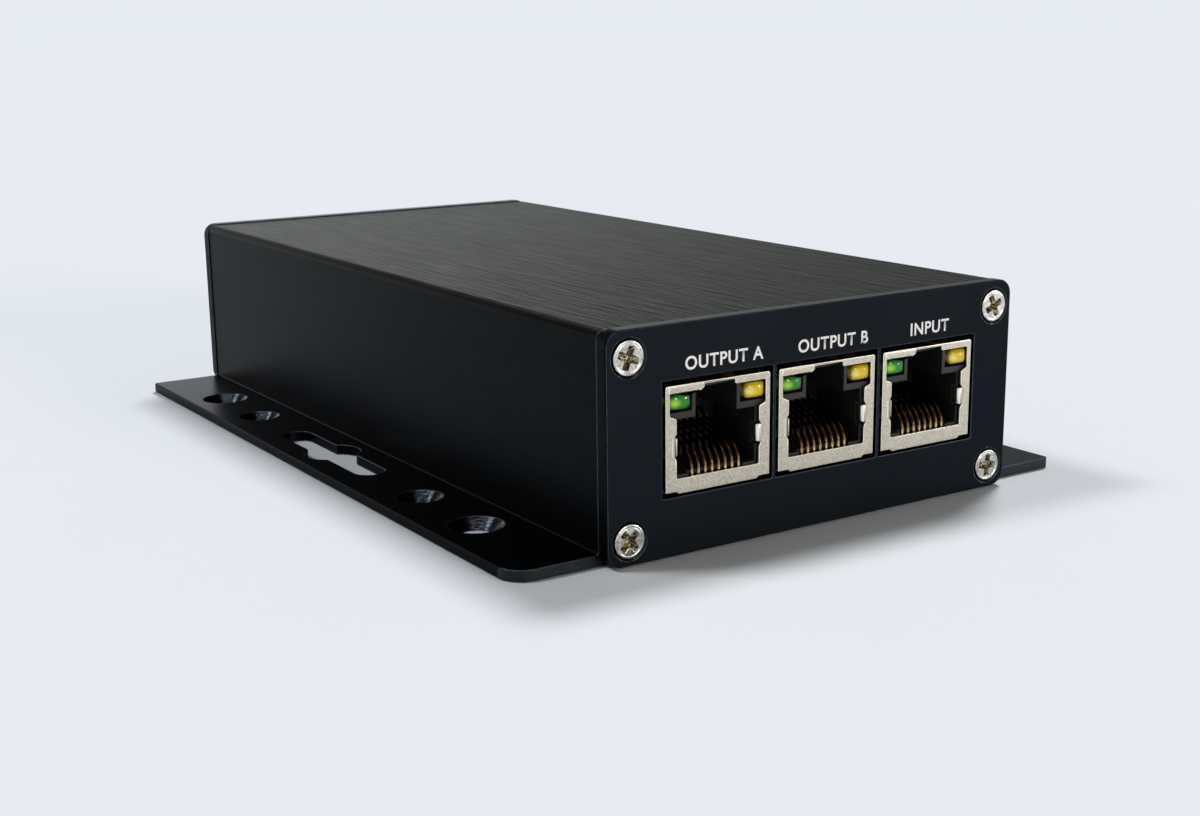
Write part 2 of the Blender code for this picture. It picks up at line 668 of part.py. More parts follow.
def make_supply(chip_black, metal, dark):
    """Regulator, choke and capacitors, near the supply inlet."""
    base = board_top + FIT
    y = rear_y - SUPPLY_DEPTH
    half = REGULATOR_SIZE / 2
    body = block("regulator", (-half, -half, 0), (half, half, REGULATOR_HEIGHT))
    regulator = place("regulator", body, chip_black, location=(INLET_OFFSET, y, base))
    tab = block("regulator_tab", (FIT - half, 0, 0),
                (half - FIT, half + REGULATOR_TAB, REGULATOR_TAB_THICKNESS))
    join(regulator, tab, parent=regulator)
    half = CHOKE_SIZE / 2
    cant = half - CHOKE_CHAMFER
    outline = [(half, -cant), (half, cant), (cant, half), (-cant, half)]
    outline += [(-half, cant), (-half, -cant), (-cant, -half), (cant, -half)]
    choke = prism("choke", [outline], 0, CHOKE_HEIGHT, "Z")
    place("choke", choke, dark, location=(INLET_OFFSET - REGULATOR_SIZE - CHOKE_SIZE, y, base))
    radius = CAPACITOR_DIAMETER / 2
    neck = radius - CAPACITOR_GROOVE
    low = CAPACITOR_NECK_HEIGHT
    profile = [(neck, CAPACITOR_HEIGHT), (radius, CAPACITOR_HEIGHT - CAPACITOR_GROOVE)]
    profile += [(radius, low + 2 * CAPACITOR_GROOVE), (neck, low + CAPACITOR_GROOVE)]
    profile += [(radius, low), (radius, 0)]
    can = turned("supply_capacitor", profile, 20)
    shade_round(can)
    for number in (1, 2):
        x = INLET_OFFSET - REGULATOR_SIZE / 2 - CAPACITOR_PITCH * (number + 1)
        place(f"supply_capacitor_{number}", can, metal, location=(x, y, base))


def make_inlet(black, metal):
    """The barrel inlet: a block with a bore and a crowned top, and its centre pin."""
    half = INLET_WIDTH / 2
    crown = INLET_CROWN_CUT
    outline = [(-half, 0), (half, 0), (half, INLET_HEIGHT - crown), (half - crown, INLET_HEIGHT)]
    outline += [(crown - half, INLET_HEIGHT), (-half, INLET_HEIGHT - crown)]
    body = prism("power_jack", [outline], -INLET_DEPTH, 0)
    housing = place("power_jack_housing", body, black, location=(INLET_OFFSET, rear_y, jack_base))
    axis = INLET_HEIGHT / 2
    radius = INLET_BORE_DIAMETER / 2
    lying = (math.radians(-90), 0, 0)
    bore = turned("inlet_bore", [(radius, CUT), (radius, -INLET_BORE_DEPTH)], 24)
    cut(housing, bore, parent=housing, location=(0, 0, axis), rotation=lying)
    radius = INLET_PIN_DIAMETER / 2
    foot = -INLET_BORE_DEPTH + FIT
    tip = foot + INLET_PIN_LENGTH
    profile = [(radius / 2, tip), (radius, tip - radius / 2), (radius, foot)]
    pin = turned("inlet_pin", profile, 16)
    shade_round(pin)
    place("power_jack_pin", pin, metal, housing, (0, 0, axis), lying)


def inlet_window():
    """The rear plate's window round the inlet, as that plate sees it from outside."""
    half = INLET_WIDTH / 2 + FIT
    top = jack_base + INLET_HEIGHT + FIT
    return box_outline(-INLET_OFFSET - half, half - INLET_OFFSET, jack_base - FIT, top)


def build():
    """Clears the scene and makes the whole part."""
    for obj in list(bpy.data.objects):
        bpy.data.objects.remove(obj, do_unlink=True)
    anodised = material("black_anodised_aluminium", (0.012, 0.014, 0.016), 0.42, 0.9)
    nickel = material("nickel_plate", (0.62, 0.60, 0.55), 0.3, 1.0)
    tinned = material("tinned_steel", (0.60, 0.58, 0.52), 0.38, 1.0)
    black = material("black_nylon", (0.01, 0.01, 0.011), 0.5)
    green = material("green_lens", (0.02, 0.28, 0.07), 0.15)
    yellow = material("yellow_lens", (0.75, 0.52, 0.02), 0.15)
    gold = material("gold_plate", (0.83, 0.58, 0.22), 0.25, 1.0)
    board_green = material("green_solder_mask", (0.01, 0.09, 0.04), 0.35)
    chip_black = material("black_epoxy", (0.015, 0.015, 0.016), 0.55)
    can_metal = material("aluminium_can", (0.7, 0.7, 0.7), 0.3, 1.0)
    ferrite = material("dark_ferrite", (0.04, 0.04, 0.045), 0.7)

    make_housing(anodised)
    make_plate("front_plate", anodised, jack_windows(), front_y, 0)
    make_plate("rear_plate", anodised, [inlet_window()], rear_y, math.pi)
    make_screws("front", nickel, front_y, 1)
    make_screws("rear", nickel, rear_y, -1)
    make_board(board_green)
    curve = contact_curve()
    for number, x in enumerate(jack_places(), 1):
        origin = place(f"jack_{number}_origin", None, location=(x, front_y, jack_base))
        make_shield(number, tinned, origin)
        make_jack_housing(number, black, origin)
        make_leds(number, green, yellow, origin)
        make_contacts(number, gold, curve, origin)
        make_chip(f"line_driver_{number}", chip_black, DRIVER_LENGTH, x, front_y + DRIVER_DEPTH)
    make_chip("logic_chip", chip_black, LOGIC_LENGTH, jack_places()[1], front_y + LOGIC_DEPTH)
    make_supply(chip_black, can_metal, ferrite)
    make_inlet(black, can_metal)


build()
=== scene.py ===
# Signal splitter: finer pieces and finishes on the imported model, with studio light and the camera.
import math

import bmesh
import bpy
from mathutils import Matrix, Vector


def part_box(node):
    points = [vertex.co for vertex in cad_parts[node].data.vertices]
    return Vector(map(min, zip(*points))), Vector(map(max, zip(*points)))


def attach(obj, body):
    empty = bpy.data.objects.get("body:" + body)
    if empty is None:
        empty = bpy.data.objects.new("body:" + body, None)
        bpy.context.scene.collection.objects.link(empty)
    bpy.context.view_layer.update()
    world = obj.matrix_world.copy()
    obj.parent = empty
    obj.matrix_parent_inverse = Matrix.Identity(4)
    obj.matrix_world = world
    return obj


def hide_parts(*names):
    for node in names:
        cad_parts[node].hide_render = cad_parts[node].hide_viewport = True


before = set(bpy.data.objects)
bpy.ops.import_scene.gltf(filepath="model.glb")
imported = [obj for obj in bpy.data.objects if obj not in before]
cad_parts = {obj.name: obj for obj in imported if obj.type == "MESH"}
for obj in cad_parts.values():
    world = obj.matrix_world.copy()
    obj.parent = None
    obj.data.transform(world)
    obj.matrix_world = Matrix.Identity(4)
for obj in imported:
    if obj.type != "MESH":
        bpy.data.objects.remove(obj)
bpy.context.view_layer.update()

MM = 0.001


# Stage. A pale card floor under a dim dome, with a soft sun behind on each side, whose shadows fall beside
# and before the box, and a low warm one in front. Metal and lenses see the card's colour all round,
# brightest behind, under a dark ceiling. Three small lamps show in gloss only.
CARD_COLOUR = "E7ECF2"
DOME_LIGHT = "6E6F71"
CEILING_SHARE = 0.2
CEILING_RISE = (0.10, 0.45)
GLOW_DIRECTION = (0.0, 1.0, 0.12)
GLOW_SHARE = 2.0
GLOW_SPREAD = (0.70, 0.97)
SUNS = (("key", (-0.60, 0.42, 1.0), "FFFFFF", 1.02), ("fill", (0.60, 0.37, 1.05), "FFFFFF", 2.0),
        ("front", (0.25, -1.0, 0.20), "FFF0DC", 0.95))
SUN_ANGLE = 14
LAMPS = (("window", (0.74, -0.66, 0.07), (0.08, 0.08), 1.4), ("strip", (-0.16, 0.10, 1.0), (0.03, 0.5), 1.9),
         ("brow", (-0.10, -0.70, 0.90), (0.3, 0.05), 0.8))
LAMP_DISTANCE = 0.9
FLOOR_REACH = 6.0
FLOOR_DROP = 0.05 * MM
CAMERA_PLACE = (-0.13379, -0.21939, 0.06339)
CAMERA_TURN = (76.7152, 0.6583, -33.1823)
CAMERA_LENS = 49.2506


def linear(code):
    """The linear colour, with full opacity, of an sRGB hex code."""
    channels = [int(code[place:place + 2], 16) / 255 for place in (0, 2, 4)]
    return (*(c / 12.92 if c <= 0.04045 else ((c + 0.055) / 1.055) ** 2.4 for c in channels), 1.0)


def plug(node, sockets):
    """Gives a node's sockets a value or a link. A node stands for its first output in use."""
    for socket, value in sockets.items():
        if isinstance(value, bpy.types.Node):
            value = next(output for output in value.outputs if output.enabled)
        if isinstance(value, bpy.types.NodeSocket):
            node.id_data.links.new(value, node.inputs[socket])
        else:
            node.inputs[socket].default_value = value


def add(tree, kind, sockets=None, **settings):
    """Adds a node, applies its settings, and fills its sockets."""
    node = tree.nodes.new(kind)
    for name, value in settings.items():
        setattr(node, name, value)
    plug(node, sockets or {})
    return node


def surface(name, sockets):
    """A new material, its node tree, its one Principled shader with these sockets filled, and the place."""
    made = bpy.data.materials.new(name)
    made.use_nodes = True
    tree = made.node_tree
    plug(tree.nodes["Principled BSDF"], sockets)
    return made, tree, tree.nodes["Principled BSDF"], add(tree, "ShaderNodeTexCoord").outputs["Object"]


def facing(direction):
    """The turn that points an object's +Z this way."""
    return Vector(direction).to_track_quat("Z", "Y")


def placed(name, data):
    """A new object at the origin, in the scene."""
    obj = bpy.data.objects.new(name, data)
    bpy.context.scene.collection.objects.link(obj)
    return obj


def grained(name, tones, grain, shine, spread=(0.0, 1.0), rough=None, relief=None, detail=2.0, tilt=0):
    """A finish of two tones that follow one fine grain. Its gloss and its relief can follow it too.

    The grain has one size in millimetres, or three along X, Y and Z, and can be tilted about Y. Spread is the
    part of it that lies between the tones, rough gives the roughness of its low and its high parts, and
    relief gives the strength of its bumps and their height in millimetres.
    """
    made, tree, shader, place = surface(name, shine)
    sizes = grain if isinstance(grain, tuple) else (grain,) * 3
    grid = add(tree, "ShaderNodeMapping", {
        "Vector": place, "Rotation": (0, math.radians(tilt), 0), "Scale": [1 / (s * MM) for s in sizes]})
    noise = add(tree, "ShaderNodeTexNoise", {"Vector": grid, "Scale": 1.0, "Detail": detail})
    share = add(tree, "ShaderNodeMapRange", {"Value": noise, "From Min": spread[0], "From Max": spread[1]})
    tone = add(tree, "ShaderNodeMix", {0: share, 6: linear(tones[0]), 7: linear(tones[1])}, data_type="RGBA")
    plug(shader, {"Base Color": tone})
    if rough:
        gloss = add(tree, "ShaderNodeMapRange", {
            "Value": noise, "From Min": 0.3, "From Max": 0.7, "To Min": rough[0], "To Max": rough[1]})
        plug(shader, {"Roughness": gloss})
    if relief:
        bump = add(tree, "ShaderNodeBump", {
            "Height": noise, "Strength": relief[0], "Distance": relief[1] * MM})
        plug(shader, {"Normal": bump})
    return made


floor_mesh = bpy.data.meshes.new("floor")
corners = ((-1, -1), (1, -1), (1, 1), (-1, 1))
floor_mesh.from_pydata([(x * FLOOR_REACH, y * FLOOR_REACH, -FLOOR_DROP) for x, y in corners],
                       [], [(0, 1, 2, 3)])
# Matt art card has a flat colour with the faint cloud of its pulp.
floor_mesh.materials.append(grained("matt_card", ("E6EBF1", "E8EDF3"), 40,
                                    {"Roughness": 1.0, "Specular IOR Level": 0.0}))
placed("floor", floor_mesh)

studio = bpy.data.worlds.new("studio")
bpy.context.scene.world = studio
studio.use_nodes = True
tree = studio.node_tree
path = add(tree, "ShaderNodeLightPath")
around = add(tree, "ShaderNodeTexCoord")
apart = add(tree, "ShaderNodeSeparateXYZ", {0: around.outputs["Generated"]})
ceiling = add(tree, "ShaderNodeMapRange", {
    "Value": apart.outputs["Z"], "From Min": CEILING_RISE[0], "From Max": CEILING_RISE[1], "To Min": 1.0,
    "To Max": CEILING_SHARE}, interpolation_type="SMOOTHSTEP")
towards = add(tree, "ShaderNodeVectorMath", {
    0: around.outputs["Generated"], 1: Vector(GLOW_DIRECTION).normalized()}, operation="DOT_PRODUCT")
glow = add(tree, "ShaderNodeMapRange", {
    "Value": towards, "From Min": GLOW_SPREAD[0], "From Max": GLOW_SPREAD[1],
    "To Min": 1.0, "To Max": GLOW_SHARE}, interpolation_type="SMOOTHSTEP")
level = add(tree, "ShaderNodeMath", {0: ceiling, 1: glow}, operation="MULTIPLY")
studio_light = add(tree, "ShaderNodeVectorMath", {0: linear(CARD_COLOUR)[:3], "Scale": level},
                   operation="SCALE")
lit = add(tree, "ShaderNodeMix", {
    0: path.outputs["Is Glossy Ray"], 6: linear(DOME_LIGHT), 7: studio_light}, data_type="RGBA")
backdrop = add(tree, "ShaderNodeMix", {
    0: path.outputs["Is Camera Ray"], 6: lit, 7: linear(CARD_COLOUR)}, data_type="RGBA")
plug(tree.nodes["Background"], {"Color": backdrop})

for name, direction, colour, strength in SUNS:
    sun = placed(name, bpy.data.lights.new(name, "SUN"))
    sun.data.color = linear(colour)[:3]
    sun.data.energy = strength
    sun.data.angle = math.radians(SUN_ANGLE)
    sun.rotation_euler = facing(direction).to_euler()

for name, direction, size, power in LAMPS:
    lamp = placed(name, bpy.data.lights.new(name, "AREA"))
    lamp.data.shape = "RECTANGLE"
    lamp.data.size, lamp.data.size_y = size
    lamp.data.energy = power
    lamp.visible_diffuse = False
    lamp.location = Vector(direction) * LAMP_DISTANCE
    lamp.rotation_euler = facing(direction).to_euler()

camera = placed("camera", bpy.data.cameras.new("camera"))
camera.data.lens = CAMERA_LENS
camera.data.clip_start = 0.005
camera.location = CAMERA_PLACE
camera.rotation_euler = [math.radians(turn) for turn in CAMERA_TURN]
bpy.context.scene.camera = camera
bpy.context.scene.view_settings.view_transform = "Standard"


# Housing. One length of extruded aluminium, a rectangular tube with a wing along each lower edge. It is
# brushed along its length, sawn, drilled and countersunk, and then anodised black.
WALL = 1.8 * MM
EDGE_RADIUS = 1.2 * MM
WING_THICKNESS = 1.5 * MM
WING_ROOT_RADIUS = 0.3 * MM
WING_EDGE_RADIUS = 0.25 * MM
WING_CORNER_RADIUS = 0.8 * MM
FRONT_LEFT_CORNER_RADIUS = 3.2 * MM
PLATE_OVERHANG = 0.2 * MM
FIT = 0.3 * MM
RAIL_REACH = 1.6 * MM
RAIL_HEIGHT = 1.2 * MM
BOSS_REACH = 3.8 * MM
BOSS_DEPTH = 4.4 * MM
WING_HOLES = ((88.0 * MM, 4.5 * MM, 7.4 * MM), (57.0 * MM, 3.5 * MM, 6.4 * MM))
KEYHOLE_LENGTH = 30.0 * MM
KEYHOLE_WIDTH = 4.5 * MM
KEYHOLE_ROUND = 8.5 * MM
PORT_DIAMETER = 2.9 * MM
BROKEN_EDGE = 0.12 * MM
END_SLOPE = 0.99
BEVEL_ANGLE, SMOOTH_ANGLE = 38, 48
CUT = 1.0 * MM


def arc(centre, radius, start, end, steps):
    """Points on an arc, in degrees, with both ends."""
    angles = [math.radians(start + (end - start) * step / steps) for step in range(steps + 1)]
    return [(centre[0] + radius * math.cos(a), centre[1] + radius * math.sin(a)) for a in angles]


def mirrored(half):
    """A whole outline from its right half, which starts and ends on the middle line."""
    return half + [(-x, z) for x, z in reversed(half) if x > 0]


def upright(outline, y):
    """The points of an (x, z) outline at this depth."""
    return [(x, y, z) for x, z in outline]


def lying(outline, z):
    """The points of an (x, y) outline at this height."""
    return [(x, y, z) for x, y in outline]


def stacked(name, rings, finish=None):
    """A closed solid skinned over rings of as many points each, and capped at both ends."""
    bm = bmesh.new()
    rows = [[bm.verts.new(point) for point in ring] for ring in rings]
    for low, high in zip(rows, rows[1:]):
        for at in range(len(low)):
            bm.faces.new((low[at - 1], low[at], high[at], high[at - 1]))
    bm.faces.new(rows[0])
    bm.faces.new(rows[-1])
    bmesh.ops.recalc_face_normals(bm, faces=bm.faces)
    mesh = bpy.data.meshes.new(name)
    bm.to_mesh(mesh)
    bm.free()
    if finish:
        mesh.materials.append(finish)
    return placed(name, mesh)


def bar(name, section, ends, finish=None):
    """A straight solid along Y between two depths, from its (x, z) section."""
    return stacked(name, [upright(section, y) for y in ends], finish)


def slab(name, outline, faces, finish=None):
    """A flat solid between two heights, from its (x, y) outline."""
    return stacked(name, [lying(outline, z) for z in faces], finish)


def turned(name, profile, centre, finish=None, steps=48, axis=(0, 0, 1)):
    """A round solid from (radius, height) points along an axis."""
    rings = [lying(arc((0, 0), radius, 0, 360 - 360 / steps, steps - 1), height)
             for radius, height in profile]
    made = stacked(name, rings, finish)
    made.data.transform(Matrix.Translation(centre) @ facing(axis).to_matrix().to_4x4())
    return made


def block(name, low, high, finish=None):
    """A box between two corners."""
    outline = [(low[0], low[1]), (high[0], low[1]), (high[0], high[1]), (low[0], high[1])]
    return slab(name, outline, (low[2], high[2]), finish)


def drawn(obj):
    """The plain mesh that an object and its modifiers make."""
    graph = bpy.context.evaluated_depsgraph_get()
    return bpy.data.meshes.new_from_object(obj.evaluated_get(graph), preserve_all_data_layers=True,
                                           depsgraph=graph)


def settle(obj):
    """Turns a mesh object with its modifiers into a plain mesh."""
    mesh = drawn(obj)
    obj.modifiers.clear()
    obj.data = mesh


def carve(target, tools, operation="DIFFERENCE"):
    """Cuts the tools out of an object, or joins them on. A cut face takes its tool's finish."""
    for tool in tools:
        modifier = target.modifiers.new(tool.name, "BOOLEAN")
        modifier.operation = operation
        modifier.solver = "EXACT"
        modifier.material_mode = "TRANSFER"
        modifier.object = tool
    settle(target)
    for tool in tools:
        bpy.data.objects.remove(tool)


def eased(obj, edge=BROKEN_EDGE, edge_slot=-1):
    """Breaks an object's sharp edges by this width, and shades round faces smooth and flat ones flat."""
    if edge:
        bevel = obj.modifiers.new("edge", "BEVEL")
        bevel.material = edge_slot
        bevel.width = edge
        bevel.segments = 2
        bevel.limit_method = "ANGLE"
        bevel.angle_limit = math.radians(BEVEL_ANGLE)
        bevel.use_clamp_overlap = False
        settle(obj)
    obj.data.shade_smooth()
    obj.data.set_sharp_from_angle(angle=math.radians(SMOOTH_ANGLE))
    normals = obj.modifiers.new("normals", "WEIGHTED_NORMAL")
    normals.keep_sharp = True
    settle(obj)


def middles_of_screws(end):
    """The middles of the four CAD screws on an end."""
    return [[(low + high) / 2 for low, high in zip(*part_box(f"{end}_screw_{number}"))]
            for number in (1, 2, 3, 4)]


def kept(obj, slot, *nodes):
    """Makes an object part of the splitter, in place of the CAD nodes that it stands for."""
    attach(obj, "root")
    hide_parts(*nodes)


def brushed_anodising(name, tones, tint, rough, fine, coarse, relief):
    """Black anodised aluminium, brushed first: hairlines of two sizes that scatter light across their length.

    Sizes are width and length. On the top the lines are drawn wider than the real 0.1 mm, so that they show
    at its flat angle. They are clearest near the front, where the brush was pressed harder.
    """
    made, tree, shader, place = surface(name, {
        "Metallic": 1.0, "Anisotropic": 0.4, "Specular Tint": linear(tint)})
    layers = []
    for width, length in (fine, coarse):
        grid = add(tree, "ShaderNodeMapping", {"Vector": place, "Scale": (1 / width, 1 / length, 1 / width)})
        layers.append(add(tree, "ShaderNodeTexNoise", {"Vector": grid, "Scale": 1.0}))
    lines = add(tree, "ShaderNodeMath", {0: layers[0], 1: layers[1]}, operation="ADD")
    spread = add(tree, "ShaderNodeMapRange", {"Value": lines, "From Min": 0.7, "From Max": 1.3})
    tone = add(tree, "ShaderNodeMix", {0: spread, 6: linear(tones[0]), 7: linear(tones[1])}, data_type="RGBA")
    gloss = add(tree, "ShaderNodeMapRange", {
        "Value": spread, "To Min": rough + 0.03 * relief, "To Max": rough})
    apart = add(tree, "ShaderNodeSeparateXYZ", {0: place})
    pressed = add(tree, "ShaderNodeMapRange", {
        "Value": apart.outputs["Y"], "From Min": half_length / 3, "From Max": -half_length,
        "To Min": 0.12 * relief, "To Max": relief})
    bump = add(tree, "ShaderNodeBump", {"Height": lines, "Strength": pressed, "Distance": 0.1 * MM})
    along = add(tree, "ShaderNodeTangent", direction_type="RADIAL", axis="Y")
    plug(shader, {"Base Color": tone, "Roughness": gloss, "Normal": bump, "Tangent": along})
    return made


half_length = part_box("housing")[1].y
brushed = brushed_anodising("black_anodised_brushed", ("0B0D0E", "1B1D1E"), "D4D4CD", 0.40,
                            (0.38 * MM, 6 * MM), (0.9 * MM, 16 * MM), 2.2)
fine_brushed = brushed_anodising("black_anodised_fine_brushed", ("0D0F11", "141618"), "CECECE", 0.32,
                                 (0.2 * MM, 6 * MM), (0.5 * MM, 20 * MM), 0.04)
# Where a tool cut it, it is smooth, with close turning marks that draw highlights out.
machined = grained("black_anodised_machined", ("121518", "363C42"), (2, 2, 0.08),
                   {"Metallic": 1.0, "Roughness": 0.17}, relief=(0.8, 0.06), detail=1.0)
# Its sawn ends are a little greyer, with short ragged strokes of the blade.
sawn = grained("black_anodised_sawn", ("181B1D", "3A3F42"), (1.6, 1, 0.15),
               {"Metallic": 1.0, "Roughness": 0.5}, relief=(0.5, 0.04), detail=3.0, tilt=12)
# On sharp edges a blue-grey line is painted in, broken by nicks: a painted highlight for the light that the
# edges catch.
edge_highlight = grained("black_anodised_painted_edge_highlight", ("1C2226", "48525A"), 0.8, {"Metallic": 1.0, "Roughness": 0.35})
wing_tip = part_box("housing")[1].x
body_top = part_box("housing")[1].z
half_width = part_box("front_plate")[1].x - PLATE_OVERHANG
wing_middle = (half_width + wing_tip) / 2
board_low, board_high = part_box("circuit_board")
screw_places = middles_of_screws("front")

shape = [(0, 0)]
shape += arc((wing_tip - WING_EDGE_RADIUS, WING_EDGE_RADIUS), WING_EDGE_RADIUS, -90, 0, 4)
shape += arc((wing_tip - WING_EDGE_RADIUS, WING_THICKNESS - WING_EDGE_RADIUS), WING_EDGE_RADIUS, 0, 90, 4)
shape += arc((half_width + WING_ROOT_RADIUS, WING_THICKNESS + WING_ROOT_RADIUS), WING_ROOT_RADIUS,
             270, 180, 6)
shape += arc((half_width - EDGE_RADIUS, body_top - EDGE_RADIUS), EDGE_RADIUS, 0, 90, 10)
shape += [(0, body_top)]
housing = bar("housing_extrusion", mirrored(shape), (-half_length, half_length), brushed)

wall = half_width - WALL
seat = board_low.z - FIT
rail = board_high.z + FIT
ceiling = body_top - WALL
boss = wall - BOSS_REACH
shape = [(0, WALL), (boss, WALL), (boss, seat), (wall, seat), (wall, rail), (wall - RAIL_REACH, rail),
         (wall - RAIL_REACH, rail + RAIL_HEIGHT), (wall, rail + RAIL_HEIGHT), (wall, ceiling - BOSS_DEPTH),
         (boss, ceiling - BOSS_DEPTH), (boss, ceiling), (0, ceiling)]
ends = (-half_length - CUT, half_length + CUT)
tools = [bar("hollow", mirrored(shape), ends, machined)]
for x, _, z in screw_places:
    tools.append(bar("port", arc((x, z), PORT_DIAMETER / 2, 0, 345, 23), ends, machined))
through = (-CUT, WING_THICKNESS + CUT)
for side in (-1, 1):
    for end in (-1, 1):
        radius = FRONT_LEFT_CORNER_RADIUS if (side, end) == (-1, -1) else WING_CORNER_RADIUS
        corner = arc((wing_tip - radius, half_length - radius), radius, 0, 90, 12)
        corner += [(wing_tip - radius, half_length + CUT), (wing_tip + CUT, half_length + CUT),
                   (wing_tip + CUT, half_length - radius)]
        corner = [(side * x, end * y) for x, y in corner]
        tools.append(slab("corner", corner, through, sawn))
        for pitch, hole, sink in WING_HOLES:
            profile = [(sink / 2 + CUT, CUT), (hole / 2, (hole - sink) / 2),
                       (hole / 2, -WING_THICKNESS - CUT)]
            centre = (side * wing_middle, end * pitch / 2, WING_THICKNESS)
            tools.append(turned("wing_hole", profile, centre, machined, 64))
    straight, radius = (KEYHOLE_LENGTH - KEYHOLE_WIDTH) / 2, KEYHOLE_WIDTH / 2
    slot = arc((0, straight), radius, 0, 180, 16) + arc((0, -straight), radius, 180, 360, 16)
    slot = [(x + side * wing_middle, y) for x, y in slot]
    tools.append(slab("slot", slot, through, fine_brushed))
    profile = [(KEYHOLE_ROUND / 2, -2 * CUT), (KEYHOLE_ROUND / 2, WING_THICKNESS + 2 * CUT)]
    tools.append(turned("keyhole", profile, (side * wing_middle, 0, 0), fine_brushed))
carve(housing, tools)
skins = housing.data.materials
for finish in (sawn, fine_brushed, edge_highlight):
    skins.append(finish)
for face in housing.data.polygons:
    if abs(face.normal.y) > END_SLOPE:
        face.material_index = len(skins) - 3
    elif face.material_index == 0 and face.center.z < body_top - 0.3 * EDGE_RADIUS:
        face.material_index = len(skins) - 2
# The broken edges take the painted edge highlight.
eased(housing, edge_slot=len(skins) - 1)
for vertex in housing.data.vertices:
    vertex.co.z = max(vertex.co.z, 0)
kept(housing, "brushed_anodised", "housing")


# End plates. Flat aluminium plates with round corners, milled windows and countersunk holes, blasted fine
# and anodised black, so that they look flatter and bluer than the brushed tube between them.
PLATE_BACKSET = 0.03 * MM
PLATE_CORNER_RADIUS = 2.0 * MM
PLATE_EDGE_RADIUS = 0.3 * MM
PLATE_EDGE = 0.13 * MM
SINK_DIAMETER = 4.9 * MM
SIDE_SLOPE, RIM_SLOPE = 0.6, 0.9
WINDOW_CORNER = 0.15 * MM
SIDE_GAP, LOW_GAP, HIGH_GAP = 0.36 * MM, 0.6 * MM, 0.7 * MM
INLET_GAP = 0.3 * MM


def round_box(left, right, low, high, radius, steps=8):
    """Outline of a rectangle with round corners."""
    outline = arc((right - radius, low + radius), radius, -90, 0, steps)
    outline += arc((right - radius, high - radius), radius, 0, 90, steps)
    outline += arc((left + radius, high - radius), radius, 90, 180, steps)
    return outline + arc((left + radius, low + radius), radius, 180, 270, steps)


def blasted_anodising():
    """Anodised aluminium blasted with fine bead: an even matt face with a soft grain of 0.1 to 0.2 mm."""
    made = grained("black_anodised_blasted", ("15181C", "1D2126"), 0.16,
                   {"Metallic": 1.0, "Specular Tint": linear("A0A0A0")}, relief=(0.35, 0.03))
    tree = made.node_tree
    place = add(tree, "ShaderNodeTexCoord")
    cloud = add(tree, "ShaderNodeTexNoise", {"Vector": place.outputs["Object"], "Scale": 1 / (9 * MM)})
    rough = add(tree, "ShaderNodeMapRange", {
        "Value": cloud, "From Min": 0.3, "From Max": 0.7, "To Min": 0.52, "To Max": 0.60})
    plug(tree.nodes["Principled BSDF"], {"Roughness": rough})
    return made


def end_plate(name, windows, out):
    """A plate on one end of the housing, its outer face towards +Y or -Y, as out says."""
    low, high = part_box("front_plate" if out < 0 else "rear_plate")
    face, back = (low.y, high.y) if out < 0 else (high.y, low.y)
    face -= out * PLATE_BACKSET
    rings = []
    edge = arc((PLATE_EDGE_RADIUS, PLATE_EDGE_RADIUS), PLATE_EDGE_RADIUS, 180, 270, 4)
    for depth, inset in [*edge, (abs(face - back), 0)]:
        rings.append(upright(round_box(low.x + inset, high.x - inset, low.z + inset, high.z - inset,
                                       PLATE_CORNER_RADIUS - inset), face - out * depth))
    plate = stacked(name, rings, blasted)
    ends = (face + out * CUT, back - out * CUT)
    tools = [bar("window", outline, ends, machined) for outline in windows]
    for x, _, z in screw_places:
        slope = (SINK_DIAMETER - PORT_DIAMETER) / 2
        profile = [(SINK_DIAMETER / 2 + CUT, CUT), (PORT_DIAMETER / 2, -slope),
                   (PORT_DIAMETER / 2, -abs(face - back) - CUT)]
        tools.append(turned("sink", profile, (x, face, z), machined, axis=(0, out, 0)))
    carve(plate, tools)
    for finish in (fine_brushed, edge_highlight):
        plate.data.materials.append(finish)
    # The plate's rounded rim and its broken edges take the painted edge highlight; its steep sides take the
    # fine brushing.
    for polygon in plate.data.polygons:
        if polygon.material_index == 0 and abs(polygon.normal.y) < RIM_SLOPE:
            polygon.material_index = 2 if abs(polygon.normal.y) < SIDE_SLOPE else 3
    eased(plate, PLATE_EDGE, edge_slot=3)
    for polygon in plate.data.polygons:
        if min(math.dist((x, z), polygon.center.xz) for x, _, z in screw_places) < 0.6 * SINK_DIAMETER:
            polygon.material_index = min(polygon.material_index, 1)
    return plate


blasted = blasted_anodising()
jack_boxes = [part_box(f"jack_{number}_shield") for number in (1, 2, 3)]
jack_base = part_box("jack_1_contact_1")[0].z
windows = []
for low, high in jack_boxes:
    windows.append(round_box(low.x - SIDE_GAP, high.x + SIDE_GAP, jack_base - LOW_GAP, high.z + HIGH_GAP,
                             WINDOW_CORNER, 3))
front_plate = end_plate("front_plate_blasted", windows, -1)
kept(front_plate, "plate_anodised", "front_plate")
low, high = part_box("power_jack_housing")
inlet_window = round_box(low.x - INLET_GAP, high.x + INLET_GAP, low.z - INLET_GAP, high.z + INLET_GAP,
                         WINDOW_CORNER, 3)
rear_plate = end_plate("rear_plate_blasted", [inlet_window], 1)
kept(rear_plate, "plate_anodised", "rear_plate")


# Legends. Small white capitals over the jacks, screen printed in matt ink: plain words for what each does.
CAPITAL_HEIGHT = 1.6 * MM
BASELINE = 23.0 * MM
INK_THICKNESS = 0.02 * MM
LEGENDS = (("OUTPUT A", -15.8 * MM), ("OUTPUT B", 1.4 * MM), ("INPUT", 17.9 * MM))
STROKE_SPREAD = 0.022

